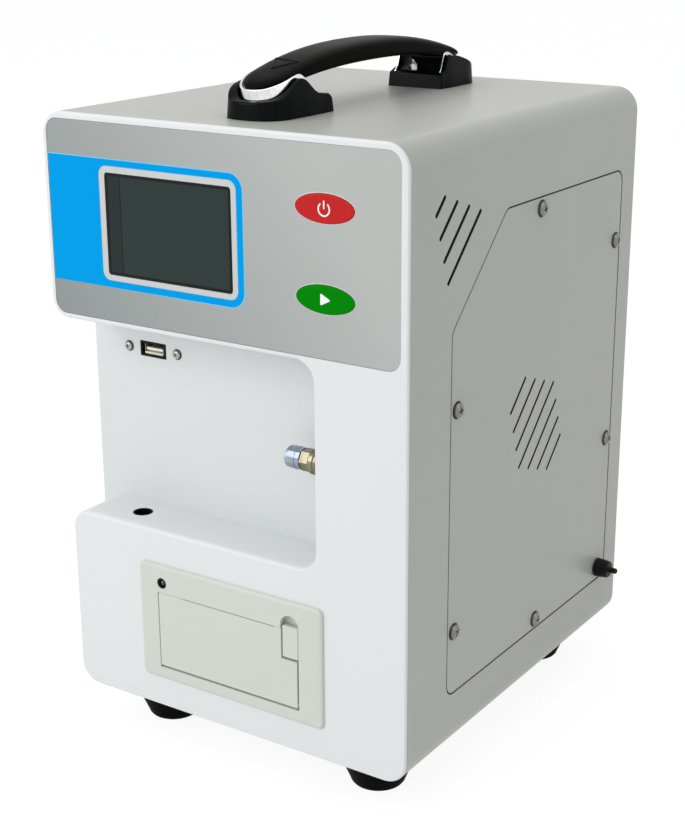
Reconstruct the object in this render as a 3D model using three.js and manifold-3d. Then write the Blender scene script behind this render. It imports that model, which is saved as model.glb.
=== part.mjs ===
// Headspace gas analyzer: a bench instrument that draws gas out of a sealed pack through a hose and
// a needle, measures it, and prints the result on a small paper roll.
// Millimetres. The front faces -Y, +X is to the right, +Z is up, and the feet stand on Z = 0.
import * as THREE from 'three';
import { mergeVertices, mergeGeometries } from 'three/addons/utils/BufferGeometryUtils.js';
import Module from 'manifold-3d';

const wasm = await Module();
wasm.setup();

// Overall body, without the feet and the handle
const bodyWidth = 190;
const bodyDepth = 210.4;
const bodyHeight = 276.4;
const caseWall = 1.5;
const caseCorner = 11;

// Clearances that many pieces share, and how far a cutting shape runs past what it cuts
const seatGap = 0.3;
const slideGap = 0.4;
const overrun = 2;

// Front moulding, with the bay for the sample hose open to the left and to the front
const rimDepth = 1.3;
const rimRoundDeep = 1.1;
const rimRoundAcross = 0.9;
const rimSeam = 0.2;
const faceThickness = 3;
const mouldWall = 2;
const skirtDepth = 12;
const columnWidth = 45.7;
const headHeight = 93.3;
const bayFloorHeight = 90;
const bayDepth = 27;
const bayCorner = 9;
const headLowerCorner = 9;
const baseInset = 4.8;
const baseCorner = 10;
const lowerWrap = 16;
const stepFlange = 12;

// Grey control overlay, the screen behind its window, and the two oval keys
const overlayLeft = 2.5;
const overlayRightMargin = 3.7;
const overlayTopMargin = 3.1;
const overlayBottomMargin = 2.5;
const overlayCorner = 6;
const overlayThickness = 0.8;
const overlaySink = 0.15;
const overlayFit = 0.15;
const screenLeft = 35.3;
const screenWidth = 68.5;
const screenDrop = 24.6;
const screenHeight = 45;
const screenCorner = 1.5;
const screenLand = 2.5;
const modulePad = 6;
const moduleDepth = 8;
const moduleBoardThickness = 1.6;
const moduleBoardPad = 2.5;
const keyFromRight = 39.3;
const powerKeyDrop = 28.6;
const keyPitch = 37;
const keyWidth = 28.7;
const keyHeight = 12;
const keyRise = 0.5;
const keyRoundDeep = 0.4;
const keyRoundAcross = 1.2;
const keyFlange = 1.2;
const keyFlangeMargin = 1.5;
const keyTravel = 0.8;
const keyBoardMargin = 5;
const keyBoardThickness = 1.6;
const keySwitchSize = 6;
const keySwitchHeight = 2;
const keyBossRadius = 2.2;
const keyBossSpread = 26;

// Data socket on the back wall of the bay, with its bracket and two screws
const usbCentreX = 35.6;
const usbDrop = 17.4;
const usbWidth = 14.6;
const usbHeight = 6.6;
const usbShell = 0.8;
const usbDepth = 15;
const usbProud = 0.3;
const usbTongueThickness = 1.8;
const usbTongueDrop = 0.9;
const usbTongueSetback = 1.6;
const usbTongueMargin = 1.4;
const usbScrewSpread = 29;
const usbBracketWidth = 38;
const usbBracketHeight = 11;
const usbBracketThickness = 1.5;

// Needle well, a closed cup under the round hole in the bay floor
const wellFromPrinter = 9.3;
const wellY = 13.6;
const wellHoleRadius = 4.5;
const wellWall = 1;
const wellDepth = 42;

// Sample port on the right wall of the bay, its axis along X, with the nut that grips the hose
const portY = 14;
const portZ = 134.5;
const portReach = 22.8;
const portBore = 1.5;
const portSpigotRadius = 3.4;
const portBodyRadius = 5.3;
const portBodyLength = 4.8;
const portCollarRadius = 7.4;
const portCollarLength = 9.6;
const portChamfer = 0.8;
const portThreadRadius = 4.5;
const portThreadLength = 13;
const portBackNutRadius = 8;
const portBackNutThickness = 4;
const nutLength = 7.8;
const nutRadius = 5.45;
const nutMouthRadius = 2.2;
const nutLip = 1.4;
const nutFluteDepth = 0.45;
const nutFluteWidth = 1;

// Panel printer: bezel, door, latch tab, lamp, paper bay and print works
const printerRightMargin = 41.7;
const printerWidth = 102.5;
const printerBottom = 15.5;
const printerHeight = 57.9;
const printerProud = 1.6;
const printerBevelDeep = 1;
const printerBevelAcross = 1.8;
const printerCorner = 3;
const printerNeckMargin = 3;
const printerNeckDepth = 12;
const printerNeckFit = 0.5;
const doorLeftMargin = 10.7;
const doorRightMargin = 12.9;
const doorBottomMargin = 6;
const doorTopMargin = 13.7;
const doorSink = 0.3;
const doorThickness = 3;
const doorGap = 0.4;
const doorLowerGap = 0.8;
const doorRibInset = 8;
const doorRibDepth = 1.6;
const pivotRadius = 0.8;
const pivotReach = 1.8;
const slotInset = 14;
const slotFromLatch = 4;
const slotSpare = 2.2;
const slotHeight = 0.6;
const latchWidth = 8.7;
const latchDrop = 13.6;
const latchHeight = 15.2;
const latchThickness = 2.2;
const latchPocketDepth = 5;
const latchPivotRadius = 1.3;
const fingerArchRise = 6.8;
const lampInset = 2.5;
const lampRise = 4.7;
const lampRadius = 2.3;
const lampSink = 0.6;
const lampLength = 6;
const housingSideMargin = 7.25;
const housingTopMargin = 5.45;
const housingDepth = 44;
const housingWall = 2;
const rollRadius = 13;
const rollBore = 5;
const rollBehindDoor = 29;
const rollRaise = 0.5;
const platenRadius = 4;
const platenAxleRadius = 1.5;
const platenAxleReach = 3.5;
const platenBehindDoor = 8.5;
const platenBelowTop = 7.5;
const earThickness = 2;
const earReach = 3.2;
const headBlockHeight = 4;
const headHangerThickness = 3;

// Side service panel, let into the case wall and screwed to a joggled flange behind it
const panelFront = 34.5;
const panelRearMargin = 13.9;
const panelBottom = 27.8;
const panelTopMargin = 37.5;
const panelChamferAlong = 45.3;
const panelChamferUp = 44.4;
const panelCorner = 6;
const panelGap = 0.4;
const joggleOut = 6;
const joggleIn = 11;
const screwInset = 5.2;
const screwHeadRadius = 3.6;
const screwHeadHeight = 2;
const screwCrown = 0.9;
const screwShankRadius = 1.4;
const screwHoleRadius = 1.8;
const screwLength = 7;
const smallHeadRadius = 2.5;
const smallHeadHeight = 1.5;
const smallCrown = 0.7;
const smallShankRadius = 1.1;
const smallHoleRadius = 1.5;
const smallLength = 6;

// Vents: slots at 45 degrees, four in the case wall and seven in the service panel
const caseVentWidth = 2;
const caseVentY = 23.6;
const caseVentDrop = 27.7;
const caseVentPitch = 9.28;
const caseVentHalf = 5.5;
const caseVentGrowth = 4.5;
const caseVentCount = 4;
const panelVentWidth = 1.6;
const panelVentAlongShare = 0.4877;
const panelVentUpShare = 0.4983;
const panelVentPitch = 8.9;
const panelVentHalf = 23.5;
const panelVentShrink = 4.5;
const panelVentSides = 3;

// Gas outlet on the service panel near its lower rear corner
const outletFromRear = 9.5;
const outletAboveBottom = 7.2;
const outletCollarRadius = 4.8;
const outletCollarTaper = 0.5;
const outletCollarLength = 7.4;
const outletStubRadius = 1.45;
const outletStubLength = 4;
const outletBore = 0.6;
const outletThreadRadius = 3;
const outletThreadLength = 12;
const outletNutRadius = 5.5;
const outletNutThickness = 3;

// Feet
const footHeight = 21;
const footTopRadius = 20;
const footBaseRadius = 13;
const footBaseRound = 3.5;
const footRecessRadius = 6;
const footRecessDepth = 6;
const footFromLeft = 37.4;
const footFromRight = 32.6;
const footFromFront = 29.8;
const footFromRear = 26.2;

// Carrying handle along the top: two end blocks, two bright collars and an arched grip
const handleShift = 3;
const handleFront = 19.6;
const handleRearMargin = 11.6;
const blockLength = 45;
const blockWidth = 28.8;
const blockHump = 15.5;
const blockEndWall = 3;
const pocketFloor = 4.4;
const gripWidth = 24.6;
const gripEndWidth = 21.6;
const gripThickness = 9.4;
const gripCrest = 27.3;
const gripDrop = 14;
const gripUnderDrop = 11.2;
const gripEndInset = 3.6;
const gripNoseLength = 14;
const gripNosePower = 8;
const gripSquareness = 3.4;
const collarWall = 1.3;

// Back of the instrument: panel, mains inlet with fuse drawer and rocker, and fan
const rearSink = 0.6;
const rearFlange = 12;
const rearScrewInset = 8;
const inletX = 62;
const inletBottom = 40;
const inletWidth = 30;
const inletHeight = 55;
const inletFlangeThickness = 2.6;
const inletCorner = 3;
const inletBodyMargin = 1.5;
const inletBodyDepth = 26;
const socketWidth = 24;
const socketHeight = 16.6;
const socketDepth = 17;
const socketRaise = 4;
const socketChamfer = 5;
const socketCorner = 1;
const pinWidth = 2;
const pinHeight = 4;
const pinLength = 15;
const pinSpread = 14;
const pinOffset = 3;
const fuseWidth = 23.4;
const fuseHeight = 7;
const fuseDepth = 13;
const fuseRaise = 23.4;
const fuseLip = 1.2;
const rockerWidth = 20;
const rockerHeight = 13;
const rockerRaise = 35.5;
const rockerDepth = 9;
const rockerProud = 1.4;
const rockerPivotDepth = 3;
const fanX = 66;
const fanDrop = 71.4;
const fanSize = 60;
const fanDepth = 15;
const fanCorner = 4;
const fanBoreRadius = 28.5;
const fanHubRadius = 13;
const fanTipGap = 1.2;
const fanBladeThickness = 1.4;
const fanRim = 1.5;
const fanScrewSpread = 50;
const fanStrutWidth = 4;
const fanBladeCount = 7;
const guardWireRadius = 0.9;
const guardRingPitch = 8.6;
const guardFirstRing = 8.4;
const guardRings = 3;
const guardStand = 3;
const guardEyeRadius = 3.8;
const guardEyeHole = 1.8;

// Inside: boards, supply, pump, sensor cells and the hose that joins them
const boardThickness = 1.6;
const boardDepth = 104;
const boardHeight = 120;
const boardFromFront = 74;
const boardRaise = 104;
const boardStandoff = 6;
const boardStandoffRadius = 2.5;
const boardChipSize = 16;
const boardChipHeight = 2.4;
const boardPlugLength = 30;
const boardPlugHeight = 9;
const boardPlugWidth = 6;
const supplyFromRight = 42;
const supplyFromRear = 4.3;
const supplyWidth = 64;
const supplyDepth = 84;
const supplyHeight = 34;
const supplyWall = 1.2;
const pumpFromRight = 40;
const pumpFromSupply = 10;
const pumpWidth = 34;
const pumpDepth = 44;
const pumpBaseHeight = 20;
const pumpMotorRadius = 12;
const pumpMotorLength = 26;
const pumpBarbRadius = 2;
const pumpBarbLength = 7;
const pumpBarbHeight = 14;
const cellX = 30;
const cellY = 92;
const cellRadius = 15;
const cellHeight = 40;
const cellNeckRadius = 9;
const cellNeckHeight = 10;
const cellFlangeRadius = 19;
const cellFlangeHeight = 3;
const hoseRadius = 2.2;

// Finishes: colour, roughness and metalness
const finishes = {
  fascia: [0xe3e6e6, 0.45, 0],
  casePaint: [0xbdbdb6, 0.5, 0.05],
  overlay: [0xa9b0b2, 0.4, 0.2],
  glass: [0x39403e, 0.12, 0],
  powerKey: [0xd1141a, 0.35, 0],
  testKey: [0x149a1e, 0.35, 0],
  board: [0x1e5a3a, 0.5, 0],
  steel: [0xc4c6c8, 0.28, 0.9],
  nickel: [0xb9ae92, 0.25, 0.9],
  nutBlue: [0xb4c2d2, 0.2, 0.9],
  printer: [0xd1d4cc, 0.5, 0],
  paper: [0xf4f3ee, 0.85, 0],
  black: [0x17181a, 0.45, 0],
  rubber: [0x121315, 0.75, 0],
  chrome: [0xdfe2e4, 0.08, 1],
  pumpMetal: [0x8f9498, 0.4, 0.7],
  cell: [0xe8e8e4, 0.5, 0],
  hose: [0xdfe7ea, 0.4, 0],
};

// Closed mesh to solid, and back

function toSolid(geometry) {
  const bare = geometry.index ? geometry.toNonIndexed() : geometry.clone();
  for (const name of Object.keys(bare.attributes)) {
    if (name !== 'position') {
      bare.deleteAttribute(name);
    }
  }
  const merged = mergeVertices(bare, 1e-4);
  const index = merged.index.array;
  const corners = [];
  for (let i = 0; i < index.length; i += 3) {
    const [a, b, c] = [index[i], index[i + 1], index[i + 2]];
    if (a !== b && b !== c && c !== a) {
      corners.push(a, b, c);
    }
  }
  const vertProperties = new Float32Array(merged.attributes.position.array);
  const triVerts = new Uint32Array(corners);
  return new wasm.Manifold(new wasm.Mesh({ numProp: 3, vertProperties, triVerts }));
}

function toGeometry(solid) {
  const mesh = solid.getMesh();
  const geometry = new THREE.BufferGeometry();
  const spots = new Float32Array(mesh.vertProperties);
  geometry.setAttribute('position', new THREE.BufferAttribute(spots, 3));
  geometry.setIndex(Array.from(mesh.triVerts));
  const flat = geometry.toNonIndexed();
  flat.computeVertexNormals();
  return flat;
}

function joined(first, ...others) {
  return others.reduce((whole, piece) => whole.add(piece), first);
}

function cut(first, ...tools) {
  return tools.reduce((rest, tool) => rest.subtract(tool), first);
}

// Outlines: a polygon whose corners are [x, y, radius], and an ellipse

function outline(corners) {
  const count = corners.length;
  const shape = new THREE.Shape();
  corners.forEach(([x, y, radius], i) => {
    const here = new THREE.Vector2(x, y);
    const before = new THREE.Vector2(...corners[(i + count - 1) % count]).sub(here).normalize();
    const after = new THREE.Vector2(...corners[(i + 1) % count]).sub(here).normalize();
    const half = Math.acos(THREE.MathUtils.clamp(before.dot(after), -1, 1)) / 2;
    if (radius <= 0) {
      if (i === 0) shape.moveTo(x, y);
      else shape.lineTo(x, y);
      return;
    }
    const back = radius / Math.tan(half);
    const start = here.clone().addScaledVector(before, back);
    const end = here.clone().addScaledVector(after, back);
    const toward = before.clone().add(after).normalize();
    const centre = here.clone().addScaledVector(toward, radius / Math.sin(half));
    const startAngle = Math.atan2(start.y - centre.y, start.x - centre.x);
    const endAngle = Math.atan2(end.y - centre.y, end.x - centre.x);
    const clockwise = before.cross(after) > 0;
    if (i === 0) shape.moveTo(start.x, start.y);
    else shape.lineTo(start.x, start.y);
    shape.absarc(centre.x, centre.y, radius, startAngle, endAngle, clockwise);
  });
  shape.closePath();
  return shape;
}

function rounded(low, high, bottom, top, radius) {
  return outline([
    [low, bottom, radius],
    [high, bottom, radius],
    [high, top, radius],
    [low, top, radius],
  ]);
}

function oval(x, y, radiusX, radiusY) {
  const shape = new THREE.Shape();
  shape.absellipse(x, y, radiusX, radiusY, 0, 2 * Math.PI);
  return shape;
}

// Extrusions along the three axes, between two places on the axis

const towardsBack = new THREE.Matrix4().makeRotationX(Math.PI / 2);
const alongX = new THREE.Matrix4().makeBasis(
  new THREE.Vector3(0, 1, 0),
  new THREE.Vector3(0, 0, 1),
  new THREE.Vector3(1, 0, 0),
);

function extruded(shape, length, steps, bevel) {
  return new THREE.ExtrudeGeometry(shape, {
    depth: length,
    curveSegments: steps,
    bevelEnabled: Boolean(bevel),
    ...bevel,
  });
}

// An outline in X and Z, from the plane Y = front to the plane Y = back
function plateXZ(shape, front, back, steps = 2) {
  const geometry = extruded(shape, back - front, steps).applyMatrix4(towardsBack);
  return toSolid(geometry.translate(0, back, 0));
}

// The same, with its front edge rounded
function roundedPlateXZ(shape, front, back, deep, across, steps = 2) {
  const bevel = { bevelThickness: deep, bevelSize: across, bevelOffset: -across, bevelSegments: 2 };
  const geometry = extruded(shape, back - front, steps, bevel).applyMatrix4(towardsBack);
  const whole = toSolid(geometry.translate(0, back + deep, 0));
  return whole.trimByPlane([0, -1, 0], -back);
}

// An outline in Y and Z, from X = left to X = right
function plateYZ(shape, left, right, steps = 2) {
  return toSolid(extruded(shape, right - left, steps).applyMatrix4(alongX).translate(left, 0, 0));
}

// An outline in X and Y, from Z = low to Z = high
function plateXY(shape, low, high, steps = 2) {
  return toSolid(extruded(shape, high - low, steps).translate(0, 0, low));
}

function slab(left, right, front, back, low, high) {
  const geometry = new THREE.BoxGeometry(right - left, back - front, high - low);
  return toSolid(geometry.translate((left + right) / 2, (front + back) / 2, (low + high) / 2));
}

// Revolves: a profile of [radius, place along the axis], turned about X, Y or Z

const roundSides = 20;

function revolved(profile, sides = roundSides) {
  const points = profile.map(([radius, place]) => new THREE.Vector2(radius, place));
  return new THREE.LatheGeometry(points, sides);
}

function aboutX(profile, y, z, sides) {
  const turn = new THREE.Matrix4().makeRotationZ(-Math.PI / 2);
  return toSolid(revolved(profile, sides).applyMatrix4(turn).translate(0, y, z));
}

function aboutY(profile, x, z, sides) {
  return toSolid(revolved(profile, sides).translate(x, 0, z));
}

function aboutZ(profile, x, y, sides) {
  const turn = new THREE.Matrix4().makeRotationX(Math.PI / 2);
  return toSolid(revolved(profile, sides).applyMatrix4(turn).translate(x, y, 0));
}

function rodProfile(radius, low, high) {
  return [[0, low], [radius, low], [radius, high], [0, high]];
}

function rodX(radius, left, right, y, z, sides) {
  return aboutX(rodProfile(radius, left, right), y, z, sides);
}

function rodY(radius, front, back, x, z, sides) {
  return aboutY(rodProfile(radius, front, back), x, z, sides);
}

function rodZ(radius, low, high, x, y, sides) {
  return aboutZ(rodProfile(radius, low, high), x, y, sides);
}

// The assembly: every piece is one named mesh

const body = new THREE.Group();

function add(name, solid, finish) {
  const [color, roughness, metalness] = finishes[finish];
  const material = new THREE.MeshStandardMaterial({ color, roughness, metalness });
  const geometry = solid.isBufferGeometry ? solid : toGeometry(solid);
  const mesh = new THREE.Mesh(geometry, material);
  mesh.name = name;
  body.add(mesh);
  return mesh;
}

// Front outline. The edges that the case wraps are drawn in by wrapInset, and the edges of the
// bay and of the stepped base by openInset.
function frontOutline(wrapInset, openInset) {
  const rounding = (radius, inset) => Math.max(radius - inset, caseWall);
  return outline([
    [baseInset + openInset, wrapInset, rounding(baseCorner, openInset)],
    [bodyWidth - wrapInset, wrapInset, rounding(caseCorner, wrapInset)],
    [bodyWidth - wrapInset, bodyHeight - wrapInset, rounding(caseCorner, wrapInset)],
    [wrapInset, bodyHeight - wrapInset, rounding(caseCorner, wrapInset)],
    [wrapInset, bayTop + openInset, rounding(headLowerCorner, openInset)],
    [bayRight + openInset, bayTop + openInset, bayCorner + openInset],
    [bayRight + openInset, bayFloorHeight - openInset, bayCorner + openInset],
    [baseInset + openInset, bayFloorHeight - openInset, rounding(baseCorner, openInset)],
  ]);
}

const inside = caseWall + seatGap;
const caseFront = rimDepth + rimSeam;
const liningBack = bayDepth + mouldWall;
const bayRight = bodyWidth - columnWidth;
const bayTop = bodyHeight - headHeight;
const sideWallTop = bayTop + headLowerCorner - seatGap;
const overlayBack = overlaySink + overlayThickness;
const overlayRight = bodyWidth - overlayRightMargin;
const overlayTop = bodyHeight - overlayTopMargin;
const overlayBottom = bayTop + overlayBottomMargin;
const screenBottom = bodyHeight - screenDrop - screenHeight;
const keyCentreX = bodyWidth - keyFromRight;
const powerKeyHeight = bodyHeight - powerKeyDrop;
const testKeyHeight = powerKeyHeight - keyPitch;
const keyBack = faceThickness + seatGap + keyFlange;
const keyBoardFront = keyBack + keyTravel + keySwitchHeight + seatGap;
const keyMiddle = (powerKeyHeight + testKeyHeight) / 2;
const usbCentreZ = bayTop - usbDrop;
const portTip = bayRight - portReach;

const printerRight = bodyWidth - printerRightMargin;
const printerLeft = printerRight - printerWidth;
const printerTop = printerBottom + printerHeight;
const wellX = printerLeft - wellFromPrinter;
const doorLeft = printerLeft + doorLeftMargin;
const doorRight = printerRight - doorRightMargin;
const doorBottom = printerBottom + doorBottomMargin;
const doorTop = printerTop - doorTopMargin;
const doorFront = -printerProud + doorSink;
const doorPivotY = doorFront + doorThickness / 2;
const doorPivotZ = doorBottom + doorLowerGap + doorThickness / 2;
const doorRibShares = [0.3, 0.5, 0.7];
const earRootShare = 2.4;
const slotLeft = doorLeft + slotInset;
const latchRight = doorRight;
const latchLeft = latchRight - latchWidth;
const slotRight = latchLeft - slotFromLatch;
const slotMiddle = (slotLeft + slotRight) / 2;
const rollWidth = slotRight - slotLeft - slotSpare;
const platenLength = rollWidth;
const latchBottom = doorTop - latchDrop;
const latchPivotY = doorFront + latchThickness;
const latchPivotZ = latchBottom + latchPivotRadius;
const fingerArchTop = doorTop + fingerArchRise;
const lampX = doorLeft + lampInset;
const lampZ = doorTop + lampRise;

const panelRear = bodyDepth - panelRearMargin;
const panelTop = bodyHeight - panelTopMargin;
const handleX = bodyWidth / 2 + handleShift;
const handleLength = bodyDepth - handleFront - handleRearMargin;
const rearPanelBack = bodyDepth - rearSink;
const rearPanelFront = rearPanelBack - caseWall;
const fanZ = bodyHeight - fanDrop;
const supplyX = bodyWidth - supplyFromRight - supplyWidth;
const supplyY = rearPanelFront - supplyFromRear - supplyDepth;
const pumpX = bodyWidth - pumpFromRight - pumpWidth;
const pumpY = supplyY - pumpFromSupply - pumpDepth;

function keyOval(height, margin) {
  return oval(keyCentreX, height, keyWidth / 2 + margin, keyHeight / 2 + margin);
}

function screenOutline(margin) {
  return rounded(
    screenLeft - margin,
    screenLeft + screenWidth + margin,
    screenBottom - margin,
    screenBottom + screenHeight + margin,
    screenCorner,
  );
}

// Front moulding: rounded rim, face, skirt inside the case, the bay's walls and the stepped base.
// On the left it keeps its full outline as deep as the bay, where the case wall is notched.
function makeFascia() {
  const far = liningBack + overrun;
  const block = roundedPlateXZ(frontOutline(0, 0), 0, far, rimRoundDeep, rimRoundAcross);
  const leftEdge = slab(
    -overrun * 2,
    lowerWrap - seatGap,
    rimDepth - overrun,
    liningBack,
    -overrun * 2,
    sideWallTop,
  );
  const wrapRoom = cut(
    slab(-overrun, bodyWidth + overrun, rimDepth, far + overrun, -overrun, bodyHeight + overrun),
    plateXZ(frontOutline(inside, -overrun * 2), rimDepth - overrun, far + overrun * 2),
    leftEdge,
  );
  const room = plateXZ(frontOutline(inside + mouldWall, mouldWall), faceThickness, far + overrun);
  const behindSkirt = cut(
    plateXZ(frontOutline(-overrun, mouldWall), skirtDepth, far + overrun),
    leftEdge,
  );
  const behindWall = slab(
    -overrun,
    bodyWidth + overrun,
    bayDepth + mouldWall / 2,
    far + overrun,
    -overrun,
    bodyHeight + overrun,
  );
  const backWall = plateXZ(
    rounded(
      inside,
      bayRight + mouldWall * 2,
      bayFloorHeight - mouldWall * 2,
      bayTop + mouldWall * 2,
      mouldWall,
    ),
    bayDepth,
    liningBack,
  );
  const stepWall = plateXZ(
    outline([
      [inside, inside, caseCorner - inside],
      [baseInset + stepFlange, inside, 0],
      [baseInset + stepFlange, bayFloorHeight, 0],
      [inside, bayFloorHeight, 0],
    ]),
    bayDepth,
    liningBack,
  );
  const sideWall = plateXZ(
    outline([
      [0, 0, caseCorner],
      [lowerWrap - seatGap, 0, 0],
      [lowerWrap - seatGap, sideWallTop, 0],
      [0, sideWallTop, 0],
    ]),
    bayDepth,
    liningBack,
  );
  const front = cut(block, wrapRoom, room, behindSkirt, behindWall);
  const shell = joined(front, backWall, stepWall, sideWall);
  const boss = (side) => rodY(
    keyBossRadius,
    faceThickness - mouldWall / 2,
    keyBoardFront - seatGap,
    keyCentreX + side * keyBossSpread / 2,
    keyMiddle,
    12,
  );
  const overlayPocket = plateXZ(
    rounded(
      overlayLeft - overlayFit,
      overlayRight + overlayFit,
      overlayBottom - overlayFit,
      overlayTop + overlayFit,
      overlayCorner + overlayFit,
    ),
    -overrun,
    overlayBack,
  );
  return cut(
    joined(shell, boss(1), boss(-1)),
    overlayPocket,
    plateXZ(screenOutline(-screenLand), -overrun, faceThickness + overrun),
    plateXZ(keyOval(powerKeyHeight, slideGap), -overrun, faceThickness + overrun, 8),
    plateXZ(keyOval(testKeyHeight, slideGap), -overrun, faceThickness + overrun, 8),
    printerNeck(printerNeckFit, -overrun, faceThickness + overrun),
    usbHole(),
    usbScrewHole(-1),
    usbScrewHole(1),
    rodX(portThreadRadius + seatGap, bayRight - overrun, bayRight + mouldWall + overrun, portY, portZ),
    rodZ(wellHoleRadius, bayFloorHeight - mouldWall - overrun, bayFloorHeight + overrun, wellX, wellY),
  );
}

function makeOverlay() {
  const sheet = plateXZ(
    rounded(overlayLeft, overlayRight, overlayBottom, overlayTop, overlayCorner),
    overlaySink,
    overlayBack,
  );
  return cut(
    sheet,
    plateXZ(screenOutline(overlayFit), -overrun, overlayBack + overrun),
    plateXZ(keyOval(powerKeyHeight, slideGap), -overrun, overlayBack + overrun, 8),
    plateXZ(keyOval(testKeyHeight, slideGap), -overrun, overlayBack + overrun, 8),
  );
}

function makeDisplay() {
  add('display_window', plateXZ(screenOutline(0), overlaySink, overlayBack), 'glass');
  const front = faceThickness + seatGap;
  const back = front + moduleDepth;
  const frame = cut(
    plateXZ(screenOutline(modulePad), front, back),
    plateXZ(screenOutline(-screenLand), front - overrun, front + moduleDepth / 4),
  );
  const backBoard = plateXZ(screenOutline(modulePad + moduleBoardPad), back, back + moduleBoardThickness);
  add('display_module', joined(frame, backBoard), 'board');
}

function makeKey(height) {
  const cap = roundedPlateXZ(keyOval(height, 0), -keyRise, keyBack, keyRoundDeep, keyRoundAcross, 8);
  const flange = plateXZ(keyOval(height, keyFlangeMargin), faceThickness + seatGap, keyBack, 8);
  return joined(cap, flange);
}

function makeKeyBoard() {
  const half = keyBossSpread / 2 + keyBoardMargin;
  const plate = plateXZ(
    rounded(
      keyCentreX - half,
      keyCentreX + half,
      testKeyHeight - keyHeight,
      powerKeyHeight + keyHeight,
      keyBoardMargin / 2,
    ),
    keyBoardFront,
    keyBoardFront + keyBoardThickness,
  );
  const press = (height) => slab(
    keyCentreX - keySwitchSize / 2,
    keyCentreX + keySwitchSize / 2,
    keyBoardFront - keySwitchHeight,
    keyBoardFront + keyBoardThickness / 2,
    height - keySwitchSize / 2,
    height + keySwitchSize / 2,
  );
  return joined(plate, press(powerKeyHeight), press(testKeyHeight));
}

// Data socket, its bracket behind the bay's back wall, and the screws

function usbOutline(margin) {
  return rounded(
    usbCentreX - usbWidth / 2 - margin,
    usbCentreX + usbWidth / 2 + margin,
    usbCentreZ - usbHeight / 2 - margin,
    usbCentreZ + usbHeight / 2 + margin,
    usbShell / 2,
  );
}

function usbHole() {
  return plateXZ(usbOutline(seatGap), bayDepth - overrun, liningBack + overrun);
}

function usbScrewHole(side) {
  const x = usbCentreX + side * usbScrewSpread / 2;
  return rodY(smallHoleRadius, bayDepth - overrun, liningBack + overrun, x, usbCentreZ, 12);
}

function makeUsbSocket() {
  const front = bayDepth - usbProud;
  const back = bayDepth + usbDepth;
  const shell = cut(
    plateXZ(usbOutline(0), front, back),
    plateXZ(usbOutline(-usbShell), front - overrun, back - usbShell),
  );
  const middle = usbCentreZ - usbTongueDrop;
  const tongue = slab(
    usbCentreX - usbWidth / 2 + usbShell + usbTongueMargin,
    usbCentreX + usbWidth / 2 - usbShell - usbTongueMargin,
    front + usbTongueSetback,
    back - usbShell / 2,
    middle - usbTongueThickness / 2,
    middle + usbTongueThickness / 2,
  );
  const plateFront = liningBack + seatGap;
  const plate = plateXZ(
    rounded(
      usbCentreX - usbBracketWidth / 2,
      usbCentreX + usbBracketWidth / 2,
      usbCentreZ - usbBracketHeight / 2,
      usbCentreZ + usbBracketHeight / 2,
      usbBracketThickness,
    ),
    plateFront,
    plateFront + usbBracketThickness,
  );
  const bracket = cut(
    plate,
    plateXZ(usbOutline(-usbShell / 2), plateFront - overrun, plateFront + usbBracketThickness + overrun),
    usbBracketHole(-1),
    usbBracketHole(1),
  );
  return joined(shell, tongue, bracket);
}

function usbBracketHole(side) {
  const x = usbCentreX + side * usbScrewSpread / 2;
  const front = liningBack;
  return rodY(smallHoleRadius, front, front + usbBracketThickness + overrun, x, usbCentreZ, 12);
}

const screwShoulderShare = 0.72;
const screwCrownShare = 0.3;

// A pan-head screw: the head rises along +Z from the plane where it seats, the shank goes down
function screwGeometry(head, height, crown, shank, length) {
  return revolved([
    [0, -length],
    [shank, -length],
    [shank, 0],
    [head, 0],
    [head, height - crown],
    [head * screwShoulderShare, height - crown * screwCrownShare],
    [0, height],
  ], 12).rotateX(Math.PI / 2);
}

function addScrew(name, place, turn, small) {
  const geometry = small
    ? screwGeometry(smallHeadRadius, smallHeadHeight, smallCrown, smallShankRadius, smallLength)
    : screwGeometry(screwHeadRadius, screwHeadHeight, screwCrown, screwShankRadius, screwLength);
  const mesh = add(name, toGeometry(toSolid(geometry)), 'steel');
  mesh.position.set(...place);
  mesh.rotation.set(...turn);
}

const facingFront = [Math.PI / 2, 0, 0];
const facingBack = [-Math.PI / 2, 0, 0];
const facingRight = [0, Math.PI / 2, 0];

function makeUsbScrews() {
  const y = bayDepth - seatGap;
  addScrew('usb_screw_left', [usbCentreX - usbScrewSpread / 2, y, usbCentreZ], facingFront, true);
  addScrew('usb_screw_right', [usbCentreX + usbScrewSpread / 2, y, usbCentreZ], facingFront, true);
}

function makeNeedleWell() {
  const top = bayFloorHeight - mouldWall - seatGap;
  const inner = wellHoleRadius;
  const outer = inner + wellWall;
  return aboutZ([
    [0, top - wellDepth],
    [outer - wellWall, top - wellDepth],
    [outer, top - wellDepth + wellWall],
    [outer, top - wellWall],
    [outer + wellWall, top - wellWall],
    [outer + wellWall, top],
    [inner, top],
    [inner, top - wellDepth + wellWall],
    [0, top - wellDepth + wellWall],
  ], wellX, wellY);
}

// Sample port through the bay's right wall, and the fluted nut on its tip

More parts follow.
